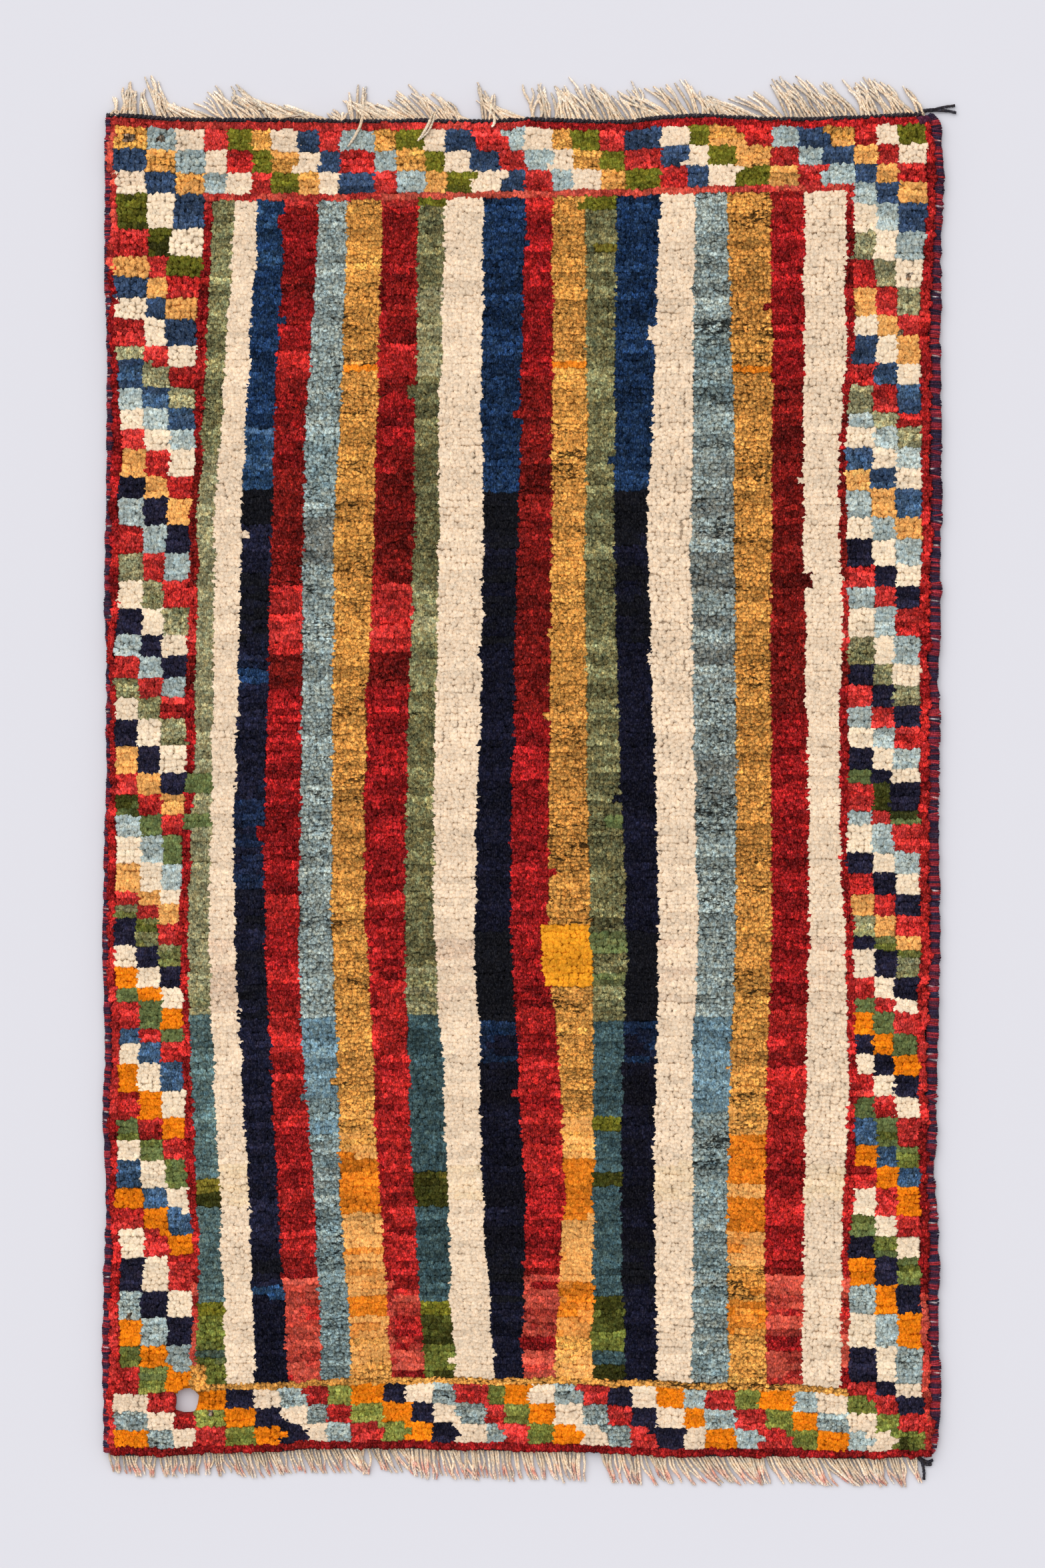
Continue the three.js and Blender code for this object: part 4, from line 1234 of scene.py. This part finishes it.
def strand_tree():
    """Two-ply strands: an oval section that turns along each line."""
    sheet, given = geometry_tree("fringe strands", {
        "Radius": "Float", "Flatness": "Float", "Twist": "Float", "Wool": "Material",
    })
    lines = sheet.get("GeometryNodeMeshToCurve", {"Mesh": given["Geometry"]})
    length = sheet.add("GeometryNodeSplineParameter").outputs["Length"]
    lines = sheet.get("GeometryNodeSetCurveTilt", {
        "Curve": lines, "Tilt": sheet.calc("MULTIPLY", length, given["Twist"]),
    })
    round_one = sheet.get("GeometryNodeCurvePrimitiveCircle", {
        "Resolution": 5, "Radius": given["Radius"],
    }, mode="RADIUS")
    oval = sheet.get("GeometryNodeTransform", {
        "Geometry": round_one, "Scale": sheet.point(1.0, given["Flatness"], 1.0),
    })
    swept = sheet.get("GeometryNodeCurveToMesh", {
        "Curve": lines, "Profile Curve": oval, "Scale": fact_of(sheet, "Girth"), "Fill Caps": True,
    })
    return finish_tree(sheet, swept, given["Wool"])


cord_wool = wool_material("cord wool", 1400.0, 0.0003)
strand_nodes = strand_tree()
for name, side, up, (height, out, right_end), tails in (
    ("end_cord_top", top_side, 1, TOP_CORD, TOP_TAILS),
    ("end_cord_bottom", bottom_side, -1, BOTTOM_CORD, BOTTOM_TAILS),
):
    xs = np.linspace(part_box(name)[0].x + CORD_YARN, cloth_middle[0] + right_end, CORD_POINTS)
    waves = np.linspace(xs[0], xs[-1], CORD_WAVES)
    wander = np.interp(xs, waves, chance.normal(0, CORD_WAVE, CORD_WAVES)) * MM
    main = np.column_stack([xs, side(xs) + up * out + wander, np.full(len(xs), height)])
    loose = [smooth_line(in_frame(tail, TAIL_HEIGHT), TAIL_POINTS) for tail in tails]
    ends = grown(name + "_loose_ends", lines_mesh(loose, dark_yarn(loose)), strand_nodes, {
        "Radius": TAIL_RADIUS,
        "Flatness": STRAND_FLATNESS,
        "Twist": STRAND_TWIST,
        "Wool": cord_wool,
    })
    piece = grown(name + "_yarn", lines_mesh([main], dark_yarn([main])), yarn_tree, {
        "Pitch": CORD_PITCH,
        "Plies": 2,
        "Reach Across": CORD_YARN * CORD_CLOSE,
        "Reach Up": CORD_YARN * CORD_CLOSE,
        "Yarn Radius": CORD_YARN,
        "Steps a Turn": float(STEPS),
        "Sides": 5,
        "Wander": 0.6 * MM,
        "Wool": cord_wool,
    })
    for part in (piece, ends):
        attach(part, "root")
        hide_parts(name)


# The fringes: the warps' own ends, undyed wool twisted from two plies, cut by hand. At the top
# they spring from the cord and curl to the left. At the bottom some dye has run into their tips.

STRAND_POINTS = 13
TUCKED_IN = 2  # how far a strand starts inside the edge, in millimetres
TWIN_STEP = 2.1  # from a strand to its twin, against its radius
CROSSING_HEIGHT = 2.2  # the most that a strand rises over its neighbours
STRAND_GIRTHS = ((0, 0.8, 1), (1.05, 0.97, 0.65))  # along a strand, and its thickness there
PALE_FROM, PALE_RATE = 0.45, 1.8
STAIN_PLACES, STAIN_WIDTH = (0.62, 0.92), 0.14
STRAND_BEIGE = daylight(230, 207, 178)
STRAND_PALE = daylight(243, 228, 211)
STRAND_PINK = daylight(222, 132, 116)
TOP_FALLS = [  # root, how far the tip goes to the right, and how far it rises
    (-295.6, 0, 14), (-291.7, 2.4, 18), (-287, 3.8, 21.6), (-281.6, 0.5, 23), (-276, -2.4, 24),
    (-267, -4.8, 15), (-264.8, -1.4, 27), (-257.6, -11, 27), (-250, -13, 26), (-243.7, -14, 13),
    (-230.8, -25, 12), (-219, -22, 9), (-217, -9.6, 24), (-213, -21, 13), (-206.8, -10.6, 27),
    (-200.5, -23, 20), (-190.4, -18, 15), (-183, -25, 24), (-172, -30, 18), (-155.4, -31, 12),
    (-140, -34, 12), (-134.8, -18, 8), (-132.8, 12, 8), (-126.6, -16, 7), (-121, 1, 25),
    (-116, 2, 25), (-110, -16, 15), (-91, -24, 14), (-80, -23, 10), (-69, -24, 18), (-62, -21, 24),
    (-52.2, -20, 18), (-45, -18, 25), (-36, -20, 9), (-28, -1, 25), (-21, -3.5, 24), (-14, -16, 18),
    (-1.8, -24, 12), (5, -24, 9), (6, 0, 24), (11.6, -3.4, 24), (17.4, -8.6, 24), (22.7, 2, 24),
    (31, -6, 22), (40.4, -17, 24), (52.9, -17, 28), (60, -14, 26), (74, -20, 25), (82.7, -15, 17),
    (91.3, -5, 26), (97, -28, 19), (105, -26, 12), (114.4, -23, 22), (125.9, -13.4, 26.4),
    (139.3, -10, 16), (150, -15, 12), (162, -26, 15), (179, -34, 16), (190.2, -24, 23),
    (196, -10.6, 28), (206, -20, 27), (217, -28, 28), (230, -18, 24), (242.5, -22, 22),
    (249.7, -6, 28), (256.4, -18, 24), (268, -15, 25), (284, -22, 20), (292, -10.6, 16),
]
TOP_GAPS = [(-35, -29.5)]
BOTTOM_FALLS = [  # root, how far the tip goes to the right, and how far it drops
    (-298, -1, 14.4), (-291.7, 3, 15.4), (-280, 3, 15.8), (-273, 1, 15.8), (-263.4, 1.4, 16.3),
    (-251.4, 1.4, 15.8), (-239.4, 1, 15.8), (-229.8, -1, 17.3), (-222.6, 3, 17.3),
    (-210.6, 7.7, 17.3), (-201, 6.7, 20.2), (-186.6, 7.7, 17.3), (-165, 4.8, 16.3),
    (-145.8, 10.6, 18.2), (-131.4, 10.6, 18.2), (-121.8, 8.6, 20.2), (-113.2, -1, 20.2),
    (-109.3, 6.7, 17.3), (-97.8, 12, 19.2), (-88.2, 13.4, 16.3), (-76.2, 3, 21.6),
    (-59.4, 3.8, 21.6), (-47.4, 9.6, 21.6), (-37.8, 2.4, 21.6), (-23.4, 3.8, 21.6), (-11.4, 3.8, 22),
    (-1.8, 5.8, 22), (7.8, 7.2, 22), (22.2, 6.7, 22), (36.6, 0, 21.6), (41.4, -1, 21.6),
    (54.4, 7.7, 21), (63, 3.8, 23), (72.6, 10.6, 21), (79.8, 4.8, 24), (89.4, 12.5, 21),
    (103.8, 9.6, 20.2), (118.2, 17.3, 20.2), (132.6, 17.3, 21), (147, 16.3, 21), (156.6, 16.3, 21),
    (171, 6.7, 21), (183, 14.4, 19.2), (195, 15.4, 20.2), (209.4, 13.4, 21), (219, 19.2, 19.2),
    (233.4, 11.5, 21), (247.8, 9.6, 20.2), (255, 4.8, 20.2), (259.8, 11.5, 21), (269.4, 4.8, 22),
    (277, 6, 19.2), (284.5, 2.6, 15.8),
]
BOTTOM_GAPS = [(42.6, 53.2)]
BESIDE_PILE, ON_PILE = 3.6 * MM, 11.4 * MM
EXTRA_POINTS = 12
TOP_EXTRAS = [  # strands that have strayed: their height, and their points from the cloth's middle
    (BESIDE_PILE, [(-175.5, 481), (-171, 482.6), (-164, 483.6), (-157.8, 485)]),
    (ON_PILE, [(-114.6, 484.5), (-116.4, 476), (-120.8, 467), (-125.5, 460.3)]),
    (ON_PILE, [(-64.2, 485), (-66.8, 478), (-71, 470), (-75.2, 464.4)]),
    (ON_PILE, [(-62.4, 485.5), (-64, 479), (-67.4, 471.6), (-73, 466)]),
    (ON_PILE, [(-20.5, 483), (-19.8, 479), (-20.6, 476), (-22, 474.6)]),
    (BESIDE_PILE, [
        (-297.4, 484), (-294.6, 487.6), (-291.2, 486.6), (-292.8, 483.4), (-296.4, 485.8),
    ]),
]


def bent_strand(end, start, root, tip, up, rise):
    """One strand from inside the edge to its tip, bent a little twice on its way."""
    bend, curl = (chance.normal(0, end["curl"]) for _ in range(2))
    flat = smooth_line([
        (start, root - up * TUCKED_IN),
        (start + 0.08 * tip + bend * 0.3, root + up * 2.5),
        (start + 0.36 * tip + bend, root + up * rise * 0.46),
        (start + 0.7 * tip + curl, root + up * rise * 0.78),
        (start + tip + curl * 0.4, root + up * rise),
    ], STRAND_POINTS)
    along = np.linspace(0, 1, STRAND_POINTS)
    crossing = chance.uniform(0, CROSSING_HEIGHT) * np.sin(math.pi * along)
    height = 0.3 * (1 - along) ** 2 + end["radius"] + crossing
    return np.column_stack([flat * MM + cloth_middle, height * MM])


def fringe_lines(end, side, up):
    """The strands of one end, each a bent line."""
    roots, tips, rises = np.array(end["falls"]).T
    lines = []
    x = roots[0]
    while x < roots[-1]:
        if not any(low < x < high for low, high in end["gaps"]):
            reach = np.interp(x, roots, tips) + chance.normal(0, end["spray"])
            rise = np.interp(x, roots, rises) * chance.uniform(*end["lengths"])
            for twin in range(end["strands"]):
                start = x + twin * end["radius"] * TWIN_STEP
                tip = reach + chance.normal(0, 1.2) * twin
                root = side(start * MM + cloth_middle[0]) / MM - cloth_middle[1] / MM
                lines.append(bent_strand(end, start, root, tip, up, rise))
        x += end["pitch"] * chance.uniform(0.7, 1.3)
    return lines


def strand_facts(lines, end):
    """Thickness and dye along each strand: pale towards the tip, with dye run in near it."""
    facts = {"Dye": [], "Girth": [], "Unevenness": [], "Root Shade and Specks": [], "Fleck": []}
    for line in lines:
        along = np.linspace(0, 1, len(line))
        shade = chance.uniform(0.85, 1.04) * end["shade"]
        paleness = np.clip((along - PALE_FROM) * PALE_RATE, 0, 1)[:, None] * chance.uniform(0.3, 1)
        colour = (STRAND_BEIGE * (1 - paleness) + STRAND_PALE * paleness) * shade
        from_stain = (along - chance.uniform(*STAIN_PLACES)) / STAIN_WIDTH
        stain = np.exp(-(from_stain**2))[:, None] * end["stain"] * chance.uniform(0.1, 1)
        colour = colour * (1 - stain) + STRAND_PINK * stain
        facts["Dye"].append(coloured(np.clip(colour, 0, BRIGHTEST)))
        facts["Girth"].append(np.interp(along, *STRAND_GIRTHS) * chance.uniform(0.88, 1.1))
        facts["Unevenness"].append(np.full(len(line), 0.2))
        facts["Root Shade and Specks"].append(np.zeros(len(line)))
        facts["Fleck"].append(np.full(len(line), chance.random()))
    return facts


# Radius and pitch in millimetres, how many strands spring from one place, how far their tips and
# bends stray, the span of their lengths, how light they are, and how much dye has run into them
ENDS = {
    "fringe_top": {
        "falls": TOP_FALLS, "gaps": TOP_GAPS, "radius": 1.18, "pitch": 1.95, "strands": 1,
        "spray": 3.6, "curl": 1.4, "lengths": (0.84, 1.24), "shade": 1, "stain": 0,
    },
    "fringe_bottom": {
        "falls": BOTTOM_FALLS, "gaps": BOTTOM_GAPS, "radius": 1.02, "pitch": 4.1, "strands": 2,
        "spray": 1.9, "curl": 1.0, "lengths": (0.98, 1.14), "shade": 1.04, "stain": 0.9,
    },
}
strand_wool = wool_material("warp wool", 1800.0, 0.00025)
extras = [smooth_line(in_frame(points, height), EXTRA_POINTS) for height, points in TOP_EXTRAS]
for name, side, up in (("fringe_top", top_side, 1), ("fringe_bottom", bottom_side, -1)):
    end = ENDS[name]
    lines = fringe_lines(end, side, up) + (extras if up > 0 else [])
    piece = grown(name + "_strands", lines_mesh(lines, strand_facts(lines, end)), strand_nodes, {
        "Radius": end["radius"] * MM,
        "Flatness": STRAND_FLATNESS,
        "Twist": STRAND_TWIST,
        "Wool": strand_wool,
    })
    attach(piece, "root")
    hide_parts(name)


# The floor, the light and the camera: a plain pale studio floor, soft light from above, and the
# camera straight over the rug.

CAMERA_HEIGHT = 3.2
VIEW_HEIGHT = 1.129  # of floor that the picture shows from top to bottom
VIEW_MIDDLE = (-5.3 * MM, -1.9 * MM)
FLOOR_LEVEL = -0.4 * MM
FLOOR_REACH = 6.0
FLOOR_PALE = (0.655, 0.65, 0.69)
SKY_COLOUR, SKY_STRENGTH = (0.98, 0.98, 1.0), 0.7
SUN_WIDTH, SUN_STRENGTH = math.radians(70), 1.9
SUN_TURN = (math.radians(-28), math.radians(-20), 0)
PILE_TOP = 11 * MM
SENSOR = 36

floor_material = bpy.data.materials.new("pale floor")
floor_material.use_nodes = True
NodeSheet(floor_material.node_tree).feed(floor_material.node_tree.nodes["Principled BSDF"], {
    "Base Color": (*FLOOR_PALE, 1), "Roughness": 0.9, "Specular IOR Level": 0.1,
})
floor_mesh = bpy.data.meshes.new("floor")
floor_corners = [(x * FLOOR_REACH, y * FLOOR_REACH) for x, y in ((-1, -1), (1, -1), (1, 1), (-1, 1))]
floor_mesh.from_pydata([(*corner, FLOOR_LEVEL) for corner in floor_corners], [], [(0, 1, 2, 3)])
floor_mesh.materials.append(floor_material)
floor = placed("floor", floor_mesh)

world = bpy.data.worlds.new("studio")
world.use_nodes = True
NodeSheet(world.node_tree).feed(world.node_tree.nodes["Background"], {
    "Color": (*SKY_COLOUR, 1), "Strength": SKY_STRENGTH,
})
bpy.context.scene.world = world

sun = bpy.data.lights.new("soft_light", "SUN")
sun.angle = SUN_WIDTH
sun.energy = SUN_STRENGTH
light = placed("soft_light", sun)
light.rotation_euler = SUN_TURN

lens = bpy.data.cameras.new("overhead")
lens.sensor_fit = "VERTICAL"
lens.sensor_height = SENSOR
lens.lens = SENSOR * CAMERA_HEIGHT / VIEW_HEIGHT
camera = placed("overhead", lens)
camera.location = (*VIEW_MIDDLE, CAMERA_HEIGHT + PILE_TOP)
bpy.context.scene.camera = camera
bpy.context.scene.view_settings.view_transform = "Standard"
